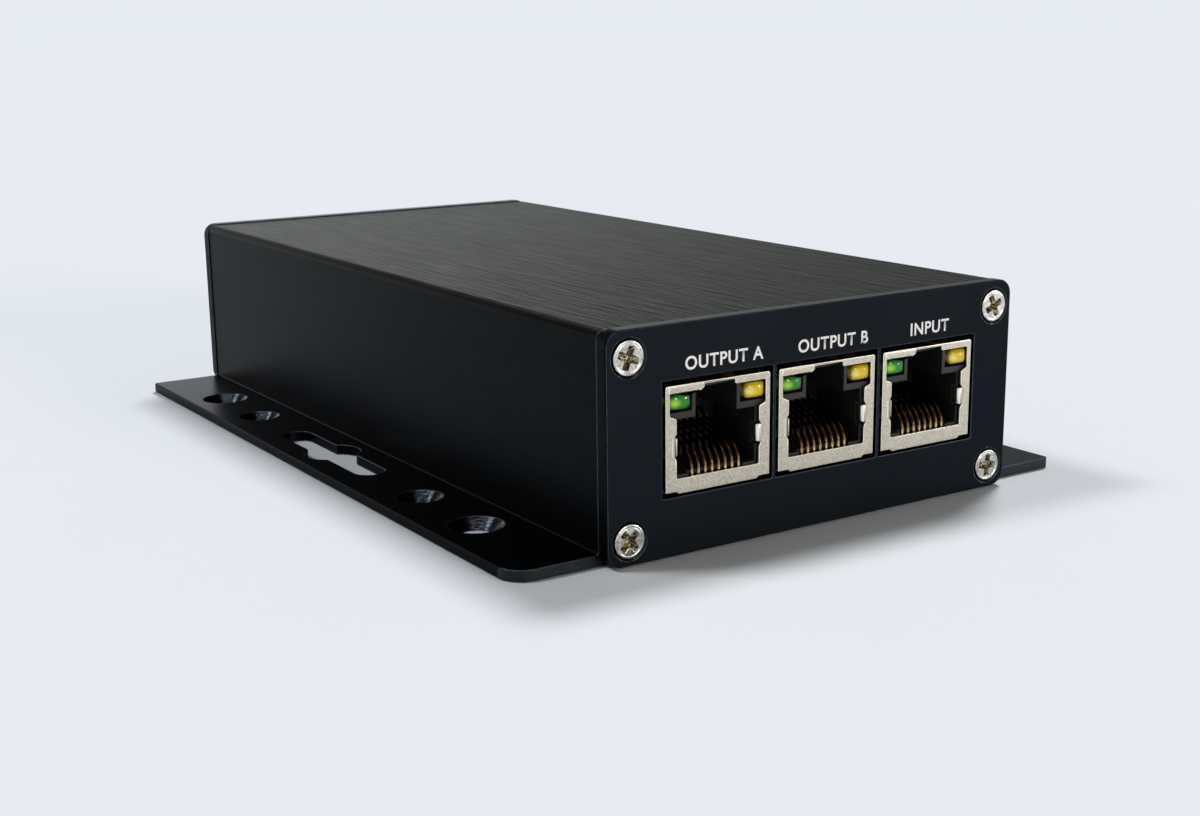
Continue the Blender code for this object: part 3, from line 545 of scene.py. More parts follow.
# White screen ink is matt, and a little uneven where the mesh laid it down.
white_ink = grained("white_screen_ink", ("F2F3F4", "FFFFFF"), 0.2,
                    {"Roughness": 0.7, "Specular IOR Level": 0.3})
ink = bmesh.new()
for words, middle in LEGENDS:
    text = bpy.data.curves.new("legend", "FONT")
    text.body = words
    text.align_x = "CENTER"
    text.space_character = 1.1
    text.offset = STROKE_SPREAD
    writer = placed("writer", text)
    letters = drawn(writer)
    scale = Matrix.Scale(CAPITAL_HEIGHT / max(vertex.co.y for vertex in letters.vertices), 4)
    ink_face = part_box("front_plate")[0].y + PLATE_BACKSET - INK_THICKNESS
    stood = Matrix.Translation((middle, ink_face, BASELINE)) @ Matrix.Rotation(math.radians(90), 4, "X")
    letters.transform(stood @ scale)
    ink.from_mesh(letters)
    bpy.data.objects.remove(writer)
bmesh.ops.recalc_face_normals(ink, faces=ink.faces)
legend_mesh = bpy.data.meshes.new("port_legends")
ink.to_mesh(legend_mesh)
ink.free()
legend_mesh.materials.append(white_ink)
legends = placed("port_legends", legend_mesh)
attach(legends, "root")


# End plate screws. Eight countersunk machine screws with cross recesses, of nickel-plated steel, each
# turned home to its own stop.
SCREW_HEAD = 4.3 * MM
SCREW_SHANK = 2.3 * MM
SCREW_LENGTH = 8.0 * MM
SCREW_EDGE = 0.05 * MM
RECESS_SPAN = 3.0 * MM
RECESS_WIDTH = 0.9 * MM
RECESS_END = 0.42 * MM
RECESS_DEPTH = 1.2 * MM
RECESS_LEAD = 0.1 * MM
HEAD_RIM = ((0, -0.14), (0.03, -0.05), (0.10, 0), (0.32, 0), (0.38, -0.05), (0.46, 0))
PIT = ((0.85, 0.1), (0.75, 0), (0.3, -0.9), (0.2, -1.2))
STOPS = {"front": (20, 65, 48, 5), "rear": (33, 71, 12, 54)}


def node_group(name, sockets):
    """A geometry node group with these inputs, given as names and kinds. It comes with its input node."""
    group = bpy.data.node_groups.new(name, "GeometryNodeTree")
    for socket, kind in sockets:
        group.interface.new_socket(name=socket, in_out="INPUT", socket_type=kind)
    group.interface.new_socket(name="Geometry", in_out="OUTPUT", socket_type="NodeSocketGeometry")
    return group, add(group, "NodeGroupInput")


def ended(group, start, many):
    """Ends a node group: its instances are made real and take the finish."""
    real = add(group, "GeometryNodeRealizeInstances", {"Geometry": many})
    finished = add(group, "GeometryNodeSetMaterial", {"Geometry": real, "Material": start.outputs["Finish"]})
    add(group, "NodeGroupOutput", {0: finished})
    return group


def grown(name, group, inputs, mesh=None):
    """A plain mesh object made by a node group with these inputs."""
    obj = placed(name, mesh or bpy.data.meshes.new(name))
    modifier = obj.modifiers.new(name, "NODES")
    modifier.node_group = group
    for item in group.interface.items_tree:
        if item.in_out == "INPUT" and item.name in inputs:
            modifier[item.identifier] = inputs[item.name]
    settle(obj)
    return obj


def screws_on_points():
    """Sets a screw on each point, turned by the point's own angles."""
    group, start = node_group("screws_on_points", [
        ("Points", "NodeSocketGeometry"), ("Screw", "NodeSocketObject"), ("Finish", "NodeSocketMaterial")])
    turns = add(group, "GeometryNodeInputNamedAttribute", {"Name": "turn"}, data_type="FLOAT_VECTOR")
    screw = add(group, "GeometryNodeObjectInfo", {"Object": start.outputs["Screw"]})
    many = add(group, "GeometryNodeInstanceOnPoints", {
        "Points": start.outputs["Points"], "Instance": screw.outputs["Geometry"],
        "Rotation": turns})
    return ended(group, start, many)


def refinished(obj, source, finishes):
    """Gives each face of a grown object its own finish again, from the piece that it repeats."""
    obj.data.materials.clear()
    for finish in finishes:
        obj.data.materials.append(finish)
    faces = source.data.polygons
    for face in obj.data.polygons:
        face.material_index = faces[face.index % len(faces)].material_index


def cross(span, width):
    """Outline of a cross, as (x, z) points."""
    arm, side = span / 2, width / 2
    quarter = [(side, side), (arm, side), (arm, -side)]
    return [(x * c - z * s, x * s + z * c) for c, s in ((1, 0), (0, -1), (-1, 0), (0, 1)) for x, z in quarter]


# Bright nickel is a warm white metal, with faint plating clouds and rubs from the driver.
nickel = grained("nickel_plate", ("A19E96", "E6E4DD"), 0.45, {"Metallic": 1.0}, spread=(0.35, 0.65),
                 rough=(0.30, 0.16), relief=(0.5, 0.05), detail=3.0)
# In a recess the colour is painted dark brown, a painted shade, with bright patches that are painted glints.
recess_shade = grained("screw_recess_painted_shade", ("1E170E", "C4B490"), 0.4, {"Metallic": 1.0, "Roughness": 0.28},
                spread=(0.4, 0.6))
head, shank = SCREW_HEAD / 2, SCREW_SHANK / 2
profile = [(shank / 2, -SCREW_LENGTH), (shank, shank / 2 - SCREW_LENGTH), (shank, shank - head)]
profile += [(head - inset * MM, height * MM) for inset, height in HEAD_RIM]
screw = turned("screw", profile, (0, 0, 0), nickel, axis=(0, -1, 0))
slots = [upright(cross(RECESS_SPAN + 1.2 * RECESS_LEAD, RECESS_WIDTH + RECESS_LEAD), -RECESS_LEAD),
         upright(cross(RECESS_SPAN, RECESS_WIDTH), 0),
         upright(cross(0.4 * RECESS_SPAN, RECESS_END), RECESS_DEPTH)]
pit = [(radius * MM, height * MM) for radius, height in PIT]
# The recess and its pit take the painted shade and glints.
carve(screw, [stacked("recess", slots, recess_shade), turned("pit", pit, (0, 0, 0), recess_shade, 24, (0, -1, 0))])
eased(screw, SCREW_EDGE, edge_slot=0)
for vertex in screw.data.vertices:
    vertex.co.y = max(vertex.co.y, 0)
screw_group = screws_on_points()
for end, corner, half_turn in (("front", 0, 0), ("rear", 1, math.pi)):
    mesh = bpy.data.meshes.new(f"{end}_plate_screws")
    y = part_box(f"{end}_screw_1")[corner].y
    mesh.from_pydata([(x, y, z) for x, _, z in middles_of_screws(end)], [], [])
    turns = mesh.attributes.new("turn", "FLOAT_VECTOR", "POINT")
    for value, stop in zip(turns.data, STOPS[end]):
        value.vector = (0, math.radians(stop), half_turn)
    four = grown(f"{end}_plate_screws", screw_group, {"Screw": screw, "Finish": nickel}, mesh)
    # Each screw's recess keeps its painted shade and glints.
    refinished(four, screw, (nickel, recess_shade))
    kept(four, "nickel", *(f"{end}_screw_{number}" for number in (1, 2, 3, 4)))
bpy.data.objects.remove(screw)


# Jack shields. Cans folded from one nickel-plated sheet, open below: a face with the plug hole, two lamp
# windows and a spring tab each side, a turned-over tongue along its upper left edge and a lip below.
SHEET = 0.3 * MM
SHIELD_EDGE = 0.07 * MM
HOLE_CORNER = 0.16 * MM
HOOD_CORNER = 0.1 * MM
FACE_BACKSET = 0.08 * MM
SIDE_EASE = 0.1 * MM
FOLD_RADIUS = 0.35 * MM
SIDE_FRAME = 1.65 * MM
LOW_FRAME = 1.6 * MM
TOP_FRAME = 0.9 * MM
LATCH_GAP = 5.0 * MM
LAMP_FRAME = 0.65 * MM
LAMP_WINDOW_HEIGHT = 2.85 * MM
LAMP_WINDOW_SLOPE = 0.4 * MM
TAB_REACH, TAB_ROOT, TAB_BEND = 0.2 * MM, 0.6 * MM, 0.4 * MM
TAB_TAIL = ((0.15, 0.75), (0.4, 1.2))
TAB_LOW, TAB_HIGH = 4.4 * MM, 6.6 * MM
TAB_NOTCH = 0.25 * MM
LIP_DROP = 0.3 * MM
TONGUE_START, TONGUE_END = 0.5 * MM, -2.2 * MM
TONGUE_DROP, TONGUE_RADIUS = 0.5 * MM, 0.37 * MM
LEG_WIDTH, LEG_LENGTH, LEG_DEPTH = 1.6 * MM, 3.1 * MM, 9.0 * MM


def softened(outline, radius):
    """An outline with each corner rounded off by about this radius."""
    soft = []
    for at, point in enumerate(outline):
        corner = Vector(point)
        before = Vector(outline[at - 1]) - corner
        after = Vector(outline[(at + 1) % len(outline)]) - corner
        start = corner + before.normalized() * min(radius, before.length * 0.45)
        end = corner + after.normalized() * min(radius, after.length * 0.45)
        soft += [tuple(start), tuple(start * 0.25 + corner * 0.5 + end * 0.25), tuple(end)]
    return soft


def strip(path, thickness):
    """Outline of a bent strip of sheet whose middle follows a path."""
    points = [Vector(point) for point in path]
    left, right = [], []
    for at, point in enumerate(points):
        along = (points[min(at + 1, len(points) - 1)] - points[max(at - 1, 0)]).normalized()
        out = Vector((-along.y, along.x)) * thickness / 2
        left.append(tuple(point + out))
        right.append(tuple(point - out))
    return left + right[::-1]


def hood(half, low, high, radius):
    """Outline of a can's section, square at its feet and round at its shoulders."""
    return mirrored([(half, low), *arc((half - radius, high - radius), radius, 0, 90, 5)])


def pieces_in_a_row():
    """Sets one piece along X at a pitch, as often as wanted."""
    group, start = node_group("pieces_in_a_row", [
        ("Piece", "NodeSocketObject"), ("Count", "NodeSocketInt"), ("Pitch", "NodeSocketFloat"),
        ("First", "NodeSocketVector"), ("Finish", "NodeSocketMaterial")])
    step = add(group, "ShaderNodeCombineXYZ", {"X": start.outputs["Pitch"]})
    line = add(group, "GeometryNodeMeshLine", {
        "Count": start.outputs["Count"], "Start Location": start.outputs["First"], "Offset": step},
        mode="OFFSET")
    piece = add(group, "GeometryNodeObjectInfo", {"Object": start.outputs["Piece"]})
    many = add(group, "GeometryNodeInstanceOnPoints", {"Points": line, "Instance": piece.outputs["Geometry"]})
    return ended(group, start, many)


shield_low, shield_high = jack_boxes[0]
half = (shield_high.x - shield_low.x) / 2 - SIDE_EASE
depth = shield_high.y - shield_low.y
height = shield_high.z - jack_base
jack_pitch = jack_boxes[1][0].x - shield_low.x
first_jack = Vector(((shield_low.x + shield_high.x) / 2, shield_low.y, jack_base))
rings = []
for back, inset in arc((FOLD_RADIUS, FOLD_RADIUS), FOLD_RADIUS, 180, 270, 4)[::-1]:
    rings.append(upright(hood(half - inset, 0, height - inset, FOLD_RADIUS),
                         FACE_BACKSET + FOLD_RADIUS - back))
rings.append(upright(hood(half, 0, height, FOLD_RADIUS), depth))
shield = stacked("shield", rings)
skin = FACE_BACKSET + SHEET
inside = bar("inside", hood(half - SHEET, -CUT, height - SHEET, HOOD_CORNER), (skin, depth - SHEET))
side, lamp = half - SIDE_FRAME, half - LAMP_FRAME
top = height - TOP_FRAME
right = [(side, LOW_FRAME), (side, TAB_LOW - 2 * TAB_NOTCH),
         (side + TAB_NOTCH, TAB_LOW - TAB_NOTCH), (side + TAB_NOTCH, TAB_HIGH + TAB_NOTCH),
         (side, TAB_HIGH + 2 * TAB_NOTCH), (side, top - LAMP_WINDOW_HEIGHT - LAMP_WINDOW_SLOPE),
         (lamp, top - LAMP_WINDOW_HEIGHT), (lamp, top), (LATCH_GAP / 2, top),
         (LATCH_GAP / 2, height - SHEET)]
hole = bar("face_hole", softened(mirrored(right), HOLE_CORNER), (-CUT, skin + HOOD_CORNER))
carve(shield, [inside, hole])
tip = side - TAB_REACH
tab_path = [(side + TAB_ROOT, 0.0), *arc((tip + TAB_BEND, TAB_BEND), TAB_BEND, 270, 180, 5)]
tab_path += [(tip + x * MM, y * MM) for x, y in TAB_TAIL]
tools = []
for turn in (-1, 1):
    tab = [(turn * x, y + FACE_BACKSET + SHEET / 2) for x, y in strip(tab_path, SHEET)]
    tools.append(slab("tab", tab, (TAB_LOW, TAB_HIGH)))
    tools.append(block("leg", (turn * half, LEG_DEPTH, -LEG_LENGTH),
                       (turn * (half - SHEET), LEG_DEPTH + LEG_WIDTH, CUT)))
lip = [(-side, SHEET), (-side, 0), (LIP_DROP - side, -LIP_DROP), (side - LIP_DROP, -LIP_DROP), (side, 0),
       (side, SHEET)]
tools.append(bar("lip", lip, (FACE_BACKSET, skin)))
tongue = arc((TONGUE_END - TONGUE_RADIUS, height - TONGUE_DROP), TONGUE_RADIUS, -90, 90, 6)
tongue += [(TONGUE_START - half, height - TONGUE_DROP + TONGUE_RADIUS),
           (TONGUE_START - half, height - TONGUE_DROP - TONGUE_RADIUS)]
tools.append(bar("tongue", tongue, (0, skin)))
carve(shield, tools, "UNION")
# Nickel-plated copper alloy sheet is a warm satin grey, with a fine mottled grain.
tinned = grained("satin_nickel_sheet", ("9B968A", "C0BBAC"), 0.22, {"Metallic": 1.0}, spread=(0.3, 0.7),
                 rough=(0.44, 0.34), relief=(0.3, 0.04))
# Round every opening a paler nickel is painted on the cut edges and folds: a painted highlight, the bright
# thin line that they catch.
nickel_edge_highlight = grained("nickel_painted_edge_highlight", ("F4EEDF", "FFFAF0"), 0.5, {"Metallic": 1.0, "Roughness": 0.30})
shield.data.materials.clear()
for finish in (tinned, nickel_edge_highlight):
    shield.data.materials.append(finish)
# Cut edges and folds at the face, and the broken edges, take the painted highlight.
for face in shield.data.polygons:
    face.material_index = abs(face.normal.y) < RIM_SLOPE and face.center.y < FACE_BACKSET + FOLD_RADIUS
eased(shield, SHIELD_EDGE, edge_slot=1)
row = pieces_in_a_row()
in_row = {"Count": 3, "Pitch": jack_pitch, "First": first_jack}
shields = grown("jack_shields", row, {"Piece": shield, "Finish": tinned, **in_row})
refinished(shields, shield, (tinned, nickel_edge_highlight))
kept(shields, "tinned_sheet", *(f"jack_{number}_shield" for number in (1, 2, 3)))
bpy.data.objects.remove(shield)


# Jack mouldings. Black glass-filled nylon bodies, injection moulded: the plug cavity, the latch channel over
# it, a pocket for each lamp, and at the back a comb whose slots hold the ends of the contact wires.
CAVITY_WIDTH, CAVITY_HEIGHT, CAVITY_DEPTH = 11.9 * MM, 6.9 * MM, 9.2 * MM
CAVITY_FLOOR = 1.9 * MM
LATCH_WIDTH, LATCH_DEPTH = 6.2 * MM, 8.6 * MM
LATCH_STEP, LATCH_ROOF = 1.4 * MM, 0.45 * MM
POST_DIAMETER, POST_PITCH, POST_DEPTH, POST_LENGTH = 3.2 * MM, 11.4 * MM, 12.4 * MM, 2.2 * MM
WIRE_PITCH = 1.016 * MM
WIRE_COUNT = 8
WIRE_DIAMETER = 0.46 * MM
RIB_THICKNESS = 0.42 * MM
RIB_TOP = 7.4 * MM
RIB_REACH, RIB_ROOT, RIB_SINK = 1.3 * MM, 0.5 * MM, 0.3 * MM
RIB_SLOPE = (0.6 * MM, 0.7 * MM)
LEAD_IN = 1.8 * MM
CHANNEL_END, CHANNEL_HEIGHT = 14.0 * MM, 1.33 * MM
SLIT_DEPTH = 1.78 * MM
TIP_SLOT_LOW, TIP_SLOT_HIGH = 5.5 * MM, 7.5 * MM
POCKET_WIDTH = 4.25 * MM
RELIEF_WIDTH, RELIEF_DEPTH = 2.85 * MM, 1.5 * MM
MOULDED_EDGE = 0.07 * MM

moulding_low, moulding_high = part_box("jack_1_housing")
wide = (moulding_high.x - moulding_low.x) / 2
near = moulding_low.y - shield_low.y
far = moulding_high.y - shield_low.y
roof = moulding_high.z - jack_base
lamp_low, lamp_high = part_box("jack_1_led_green")
lamp_depth = lamp_high.y - lamp_low.y
moulding = block("moulding", (-wide, near, 0), (wide, far, roof))
ceiling = CAVITY_FLOOR + CAVITY_HEIGHT
comb_half = WIRE_PITCH * (WIRE_COUNT - 1) / 2 + WIRE_DIAMETER / 2 + FIT
tools = [
    block("cavity", (-CAVITY_WIDTH / 2, -CUT, CAVITY_FLOOR), (CAVITY_WIDTH / 2, CAVITY_DEPTH, ceiling)),
    block("latch", (-LATCH_WIDTH / 2, -CUT, ceiling - LATCH_STEP),
          (LATCH_WIDTH / 2, LATCH_DEPTH, roof - LATCH_ROOF)),
    block("lead_in", (-LATCH_WIDTH / 2, -CUT, ceiling), (LATCH_WIDTH / 2, LEAD_IN, roof + CUT)),
    block("channel", (-comb_half, -CUT, -CUT), (comb_half, CHANNEL_END, CHANNEL_HEIGHT)),
    block("slit", (-comb_half, -CUT, -CUT), (comb_half, SLIT_DEPTH, CAVITY_FLOOR + CUT)),
    block("tips", (-comb_half, CAVITY_DEPTH - CUT, TIP_SLOT_LOW),
          (comb_half, CAVITY_DEPTH + CUT, TIP_SLOT_HIGH))]
for turn in (-1, 1):
    tools.append(block("pocket", (turn * (half - POCKET_WIDTH), -CUT, lamp_low.z - jack_base - FIT),
                       (turn * (wide + CUT), lamp_depth + FIT, roof + CUT)))
    tools.append(block("relief", (turn * (LATCH_WIDTH / 2 + RELIEF_WIDTH), -CUT, TAB_LOW - FIT),
                       (turn * (wide + CUT), RELIEF_DEPTH, TAB_HIGH + FIT)))
carve(moulding, tools)
tools = []
rib_back, rib_front, rib_foot = CAVITY_DEPTH + RIB_ROOT, CAVITY_DEPTH - RIB_REACH, CAVITY_FLOOR - RIB_SINK
side_view = [(rib_back, rib_foot), (rib_front, rib_foot), (rib_front, RIB_TOP - RIB_SLOPE[1]),
             (rib_front + RIB_SLOPE[0], RIB_TOP), (rib_back, RIB_TOP)]
for rib in range(WIRE_COUNT + 1):
    middle = WIRE_PITCH * (rib - WIRE_COUNT / 2)
    tools.append(stacked("rib", [[(x, y, z) for y, z in side_view]
                                 for x in (middle - RIB_THICKNESS / 2, middle + RIB_THICKNESS / 2)]))
for turn in (-1, 1):
    profile = [(POST_DIAMETER / 2, CUT), (POST_DIAMETER / 2, -POST_LENGTH)]
    tools.append(turned("post", profile, (turn * POST_PITCH / 2, POST_DEPTH, 0), steps=24))
carve(moulding, tools, "UNION")
eased(moulding, MOULDED_EDGE)
# Glass-filled nylon is near black, with the dull uneven gloss that the fibres leave.
nylon = grained("black_nylon_glass_filled", ("151413", "262421"), 0.35, {"Specular IOR Level": 0.32},
                rough=(0.42, 0.60), relief=(0.3, 0.02), detail=3.0)
mouldings = grown("jack_mouldings", row, {"Piece": moulding, "Finish": nylon, **in_row})
kept(mouldings, "jack_moulding", *(f"jack_{number}_housing" for number in (1, 2, 3)))
bpy.data.objects.remove(moulding)


# Jack lamps. Rectangular light-emitting diodes of tinted epoxy, with crowned glossy fronts: green at the
# left of each jack and yellow at the right.
LENS_CROWN = 0.5 * MM
LENS_BACKSET = 0.02 * MM
LENS_RIM, LENS_BODY = 0.3 * MM, 0.4 * MM
LENS_STEP = 0.93
LENS_GAP = 0.15 * MM
LENS_CORNER = 0.4 * MM


def tinted_epoxy(name, edge_shade, body, glow, first_x):
    """Tinted clear epoxy, cast and glossy, with painted light: a painted shade round its edges, and a painted
    glow at its left, where light collects.
    """
    made, tree, shader, place = surface(name, {"Roughness": 0.12, "Specular IOR Level": 0.3})
    across = add(tree, "ShaderNodeVectorMath", {0: place, 1: (first_x, 0, lamp_low.z)}, operation="SUBTRACT")
    repeat = add(tree, "ShaderNodeVectorMath", {0: across, 1: (jack_pitch, 1, 1)}, operation="MODULO")
    spot = add(tree, "ShaderNodeVectorMath", {
        0: repeat, 1: (1 / lens_wide, 0, 2 / lens_high), 2: (-1, 0, -1)}, operation="MULTIPLY_ADD")
    tone = linear(body)
    # A painted shade deepens the edges and a painted glow lightens the left.
    for centre, all_at, none_at, colour in (((0, 0, 0), 1.2, 0.4, edge_shade), ((-0.6, 0, -0.1), 0.05, 0.75, glow)):
        distance = add(tree, "ShaderNodeVectorMath", {0: spot, 1: centre}, operation="DISTANCE")
        share = add(tree, "ShaderNodeMapRange", {
            "Value": distance, "From Min": all_at, "From Max": none_at, "To Min": 1.0, "To Max": 0.0},
            interpolation_type="SMOOTHSTEP")
        tone = add(tree, "ShaderNodeMix", {0: share, 6: tone, 7: linear(colour)}, data_type="RGBA")
    plug(shader, {"Base Color": tone})
    return made


lens_wide = (lamp_high.x - lamp_low.x) / 2
lens_high = lamp_high.z - lamp_low.z
lens_outline = round_box(LENS_GAP - lens_wide, lens_wide, LENS_GAP / 2 - lens_high / 2,
                         lens_high / 2 - LENS_GAP / 2, LENS_CORNER, 5)
lens_back = [(x * LENS_STEP, z) for x, z in lens_outline]
rings = []
for fall, share in arc((0, 0), 1, 0, 90, 12)[1:]:
    y = LENS_CROWN * (1 - fall) + LENS_BACKSET
    ring = []
    for x, z in lens_outline:
        reach = math.hypot(x / lens_wide, 2 * z / lens_high)
        squared = share * (share ** 4 + (1 - share ** 4) / reach)
        ring.append((x * squared, z * squared + lens_high / 2))
    rings.append(upright(ring, y))
for outline, y in ((lens_outline, LENS_CROWN + LENS_RIM), (lens_back, LENS_CROWN + LENS_BODY),
                   (lens_back, lamp_depth)):
    rings.append(upright([(x, z + lens_high / 2) for x, z in outline], y))
# Each colour gives its painted edge shade, its body and its painted glow.
for colour, tones in (("green", ("0A4610", "2E9030", "A8E84C")), ("yellow", ("9A7604", "EAD010", "FFF880"))):
    low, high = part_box(f"jack_1_led_{colour}")
    lens = stacked("lens", rings)
    eased(lens, 0)
    epoxy = tinted_epoxy(f"{colour}_epoxy_lens", *tones, low.x)
    first = Vector(((low.x + high.x) / 2, low.y, low.z))
    lamps = grown(f"jack_lamps_{colour}", row, {**in_row, "Piece": lens, "Finish": epoxy, "First": first})
    kept(lamps, f"{colour}_lamp", *(f"jack_{number}_led_{colour}" for number in (1, 2, 3)))
    bpy.data.objects.remove(lens)


# Contact wires. Eight gold-plated spring wires in each jack, drawn round and bent: each runs under the floor,
# turns up at the front and arches back into the comb.
TAIL_DEPTH = 13.4 * MM
FRONT_DEPTH = 0.8 * MM
BEND_RADIUS = 0.5 * MM
TIP_DEPTH = 9.9 * MM
TIP_HEIGHT = 6.5 * MM
SWEEP, RISE = 2.0, 1.7
# Where the gold gives way to the painted shade, about the cavity floor.
GOLD_SHADE_LINE = (-0.1 * MM, 0.6 * MM)


def round_wire():
    """Draws a round wire along a path."""
    group, start = node_group("round_wire", [
        ("Path", "NodeSocketObject"), ("Wire Radius", "NodeSocketFloat"), ("Finish", "NodeSocketMaterial")])
    route = add(group, "GeometryNodeObjectInfo", {"Object": start.outputs["Path"]})
    section = add(group, "GeometryNodeCurvePrimitiveCircle", {
        "Resolution": 12, "Radius": start.outputs["Wire Radius"]})
    wire = add(group, "GeometryNodeCurveToMesh", {
        "Curve": route.outputs["Geometry"], "Profile Curve": section, "Fill Caps": True})
    return ended(group, start, wire)


def gold_with_painted_shade():
    """Hard gold low on the front bends of the wires, and above them a painted shade: dull brown where the
    wires arch back into the dark cavity.
    """
    made, tree, shader, place = surface("gold_plate", {"Metallic": 1.0, "Roughness": 0.24})
    apart = add(tree, "ShaderNodeSeparateXYZ", {0: place})
    floor = jack_base + CAVITY_FLOOR
    shaded_above = add(tree, "ShaderNodeMapRange", {
        "Value": apart.outputs["Z"], "From Min": floor + GOLD_SHADE_LINE[0], "From Max": floor + GOLD_SHADE_LINE[1]})
    thin = add(tree, "ShaderNodeTexNoise", {"Vector": place, "Scale": 1 / (0.7 * MM)})
    gold_and_shade_tones = [add(tree, "ShaderNodeMix", {0: thin, 6: linear(dull), 7: linear(bright)}, data_type="RGBA")
              for dull, bright in (("9A7A48", "F4DCA4"), ("241910", "62472E"))]
    tone = add(tree, "ShaderNodeMix", {0: shaded_above, 6: gold_and_shade_tones[0], 7: gold_and_shade_tones[1]}, data_type="RGBA")
    plug(shader, {"Base Color": tone})
    return made


bend, run = BEND_RADIUS, FIT + BEND_RADIUS
route = [(TAIL_DEPTH, 0), *arc((TAIL_DEPTH - bend, run - bend), bend, 0, 90, 5)]
route += arc((FRONT_DEPTH + bend, run + bend), bend, 270, 180, 8)
for step in range(25):
    share = step / 24
    route.append((FRONT_DEPTH + (TIP_DEPTH - FRONT_DEPTH) * share ** SWEEP,
                  CAVITY_FLOOR + (TIP_HEIGHT - CAVITY_FLOOR) * (1 - (1 - share) ** RISE)))
curve = bpy.data.curves.new("wire_path", "CURVE")
curve.dimensions = "3D"
spline = curve.splines.new("POLY")
spline.points.add(len(route) - 1)
for point, (y, z) in zip(spline.points, route):
    point.co = (0, y, z, 1)
wire_path = placed("wire_path", curve)
# The wires' finish: gold below, painted shade above.
gold = gold_with_painted_shade()
wire = grown("wire", round_wire(), {"Path": wire_path, "Wire Radius": WIRE_DIAMETER / 2, "Finish": gold})
wire.data.shade_smooth()
first_wire = Vector((-WIRE_PITCH * (WIRE_COUNT - 1) / 2, 0, 0))
comb = grown("wire_comb", row, {
    "Piece": wire, "Count": WIRE_COUNT, "Pitch": WIRE_PITCH, "First": first_wire, "Finish": gold})
wires = grown("jack_contact_wires", row, {"Piece": comb, "Finish": gold, **in_row})
for jack in (1, 2, 3):
    kept(wires, "gold", *(f"jack_{jack}_contact_{wire}" for wire in range(1, WIRE_COUNT + 1)))
for draft in (comb, wire, wire_path):
    bpy.data.objects.remove(draft)


# Circuit board and the parts on it. Green solder mask over glass laminate, moulded epoxy chips with tinned
# leads, a ferrite choke and drawn aluminium capacitors. The CAD shapes stay, and each gets its own finish.
def solder_mask():
    """Green mask over etched copper: a glossy green with paler tracks 0.4 mm wide showing through."""
    made, tree, shader, place = surface("green_solder_mask", {"Roughness": 0.32})
    tracks = add(tree, "ShaderNodeTexBrick", {
        "Vector": place, "Color1": linear("0C4A26"), "Color2": linear("0E5229"),
        "Mortar": linear("2A7A48"), "Scale": 1 / (20 * MM), "Mortar Size": 0.01, "Brick Width": 0.5,
        "Row Height": 0.12})
    bump = add(tree, "ShaderNodeBump", {
        "Height": tracks.outputs["Fac"], "Strength": 0.5, "Distance": 0.03 * MM})
    plug(shader, {"Base Color": tracks, "Normal": bump})
    return made


def moulded_epoxy(name, middle, half_body):
    """Black chip epoxy about a Y plane, dull with fine grit, and tinned metal leads beyond it."""
    made, tree, shader, place = surface(name, {})
    apart = add(tree, "ShaderNodeSeparateXYZ", {0: place})
    body = add(tree, "ShaderNodeMath", {0: apart.outputs["Y"], 1: middle, 2: half_body}, operation="COMPARE")
    lead = add(tree, "ShaderNodeMath", {0: 1.0, 1: body}, operation="SUBTRACT")
    grit = add(tree, "ShaderNodeTexNoise", {"Vector": place, "Scale": 1 / (0.15 * MM)})
    resin = add(tree, "ShaderNodeMix", {0: grit, 6: linear("1A1A1B"), 7: linear("29292A")}, data_type="RGBA")
    tone = add(tree, "ShaderNodeMix", {0: lead, 6: resin, 7: linear("C9C8C2")}, data_type="RGBA")
    rough = add(tree, "ShaderNodeMapRange", {"Value": lead, "To Min": 0.6, "To Max": 0.35})
    plug(shader, {"Base Color": tone, "Metallic": lead, "Roughness": rough})
    return made


def sintered_ferrite():
    """Ground and sintered ferrite: grey-black, dull, with the specks of its grain, about 0.2 mm across."""
    made, tree, shader, place = surface("sintered_ferrite", {"Roughness": 0.7})
    grain = add(tree, "ShaderNodeTexVoronoi", {"Vector": place, "Scale": 1 / (0.2 * MM)})
    tone = add(tree, "ShaderNodeMix", {0: grain, 6: linear("303033"), 7: linear("454548")}, data_type="RGBA")
    plug(shader, {"Base Color": tone})
    return made


CHIP_HALF_WIDTH = 2.0 * MM
REGULATOR_BODY = 6.6 * MM
finishes = {"circuit_board": solder_mask(), "choke": sintered_ferrite()}
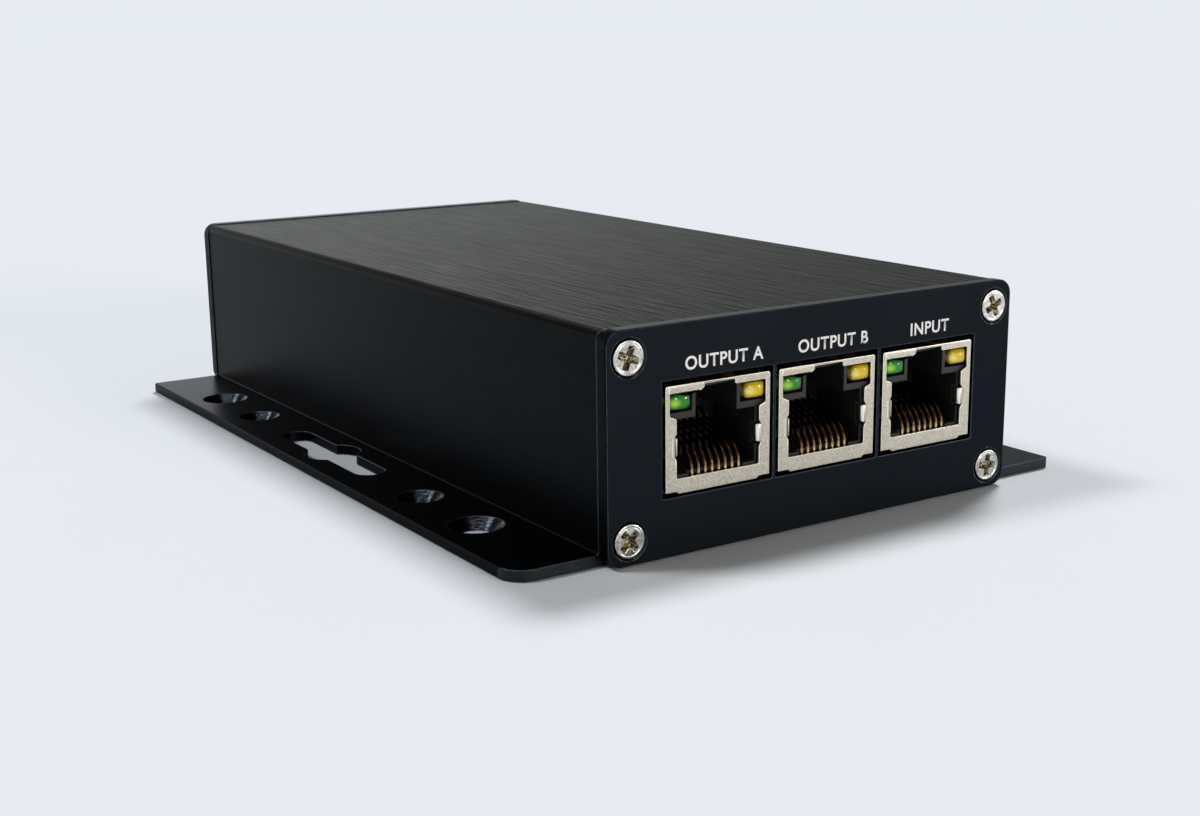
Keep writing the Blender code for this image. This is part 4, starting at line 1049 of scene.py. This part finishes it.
# Deep-drawn aluminium cans are bright, with fine upright drawing lines 0.1 mm apart.
can = grained("drawn_aluminium", ("BFC0C2", "E2E3E4"), (0.1, 0.1, 8), {"Metallic": 1.0, "Roughness": 0.3})
finishes.update({f"supply_capacitor_{number}": can for number in (1, 2)})
low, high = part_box("line_driver_1")
driver_epoxy = moulded_epoxy("driver_epoxy", (low.y + high.y) / 2, CHIP_HALF_WIDTH)
finishes.update({f"line_driver_{number}": driver_epoxy for number in (1, 2, 3)})
low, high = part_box("logic_chip")
finishes["logic_chip"] = moulded_epoxy("logic_epoxy", (low.y + high.y) / 2, CHIP_HALF_WIDTH)
low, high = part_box("regulator")
finishes["regulator"] = moulded_epoxy("regulator_epoxy", low.y, REGULATOR_BODY)
for node, finish in finishes.items():
    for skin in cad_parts[node].material_slots:
        skin.material = finish


# Supply inlet. A barrel socket in the rear plate: a black nylon body, moulded with a bore and a crowned
# top, and the nickel-plated centre pin that is pressed into it from behind.
BORE_DIAMETER = 6.4 * MM
BORE_DEPTH = 9.5 * MM
BORE_LEAD = 0.35 * MM
CROWN_CUT = 1.6 * MM
INLET_CORNER = 0.3 * MM

low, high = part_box("power_jack_housing")
pin_low, pin_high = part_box("power_jack_pin")
axis_x, _, axis_z = (pin_low + pin_high) / 2
shape = [(low.x, low.z), (high.x, low.z), (high.x, high.z - CROWN_CUT), (high.x - CROWN_CUT, high.z),
         (low.x + CROWN_CUT, high.z), (low.x, high.z - CROWN_CUT)]
inlet = bar("supply_inlet", softened(shape, INLET_CORNER), (low.y, high.y), nylon)
radius = BORE_DIAMETER / 2
profile = [(radius + BORE_LEAD + CUT, CUT), (radius, -BORE_LEAD), (radius, -BORE_DEPTH)]
carve(inlet, [turned("bore", profile, (axis_x, high.y, axis_z), nylon, axis=(0, 1, 0))])
eased(inlet)
kept(inlet, "jack_moulding", "power_jack_housing")

radius = (pin_high.x - pin_low.x) / 2
profile = [(radius, pin_low.y), *arc((0, pin_high.y - radius), radius, 0, 80, 8)]
pin = turned("supply_inlet_pin", profile, (axis_x, 0, axis_z), nickel, steps=32, axis=(0, 1, 0))
eased(pin, 0)
kept(pin, "nickel", "power_jack_pin")
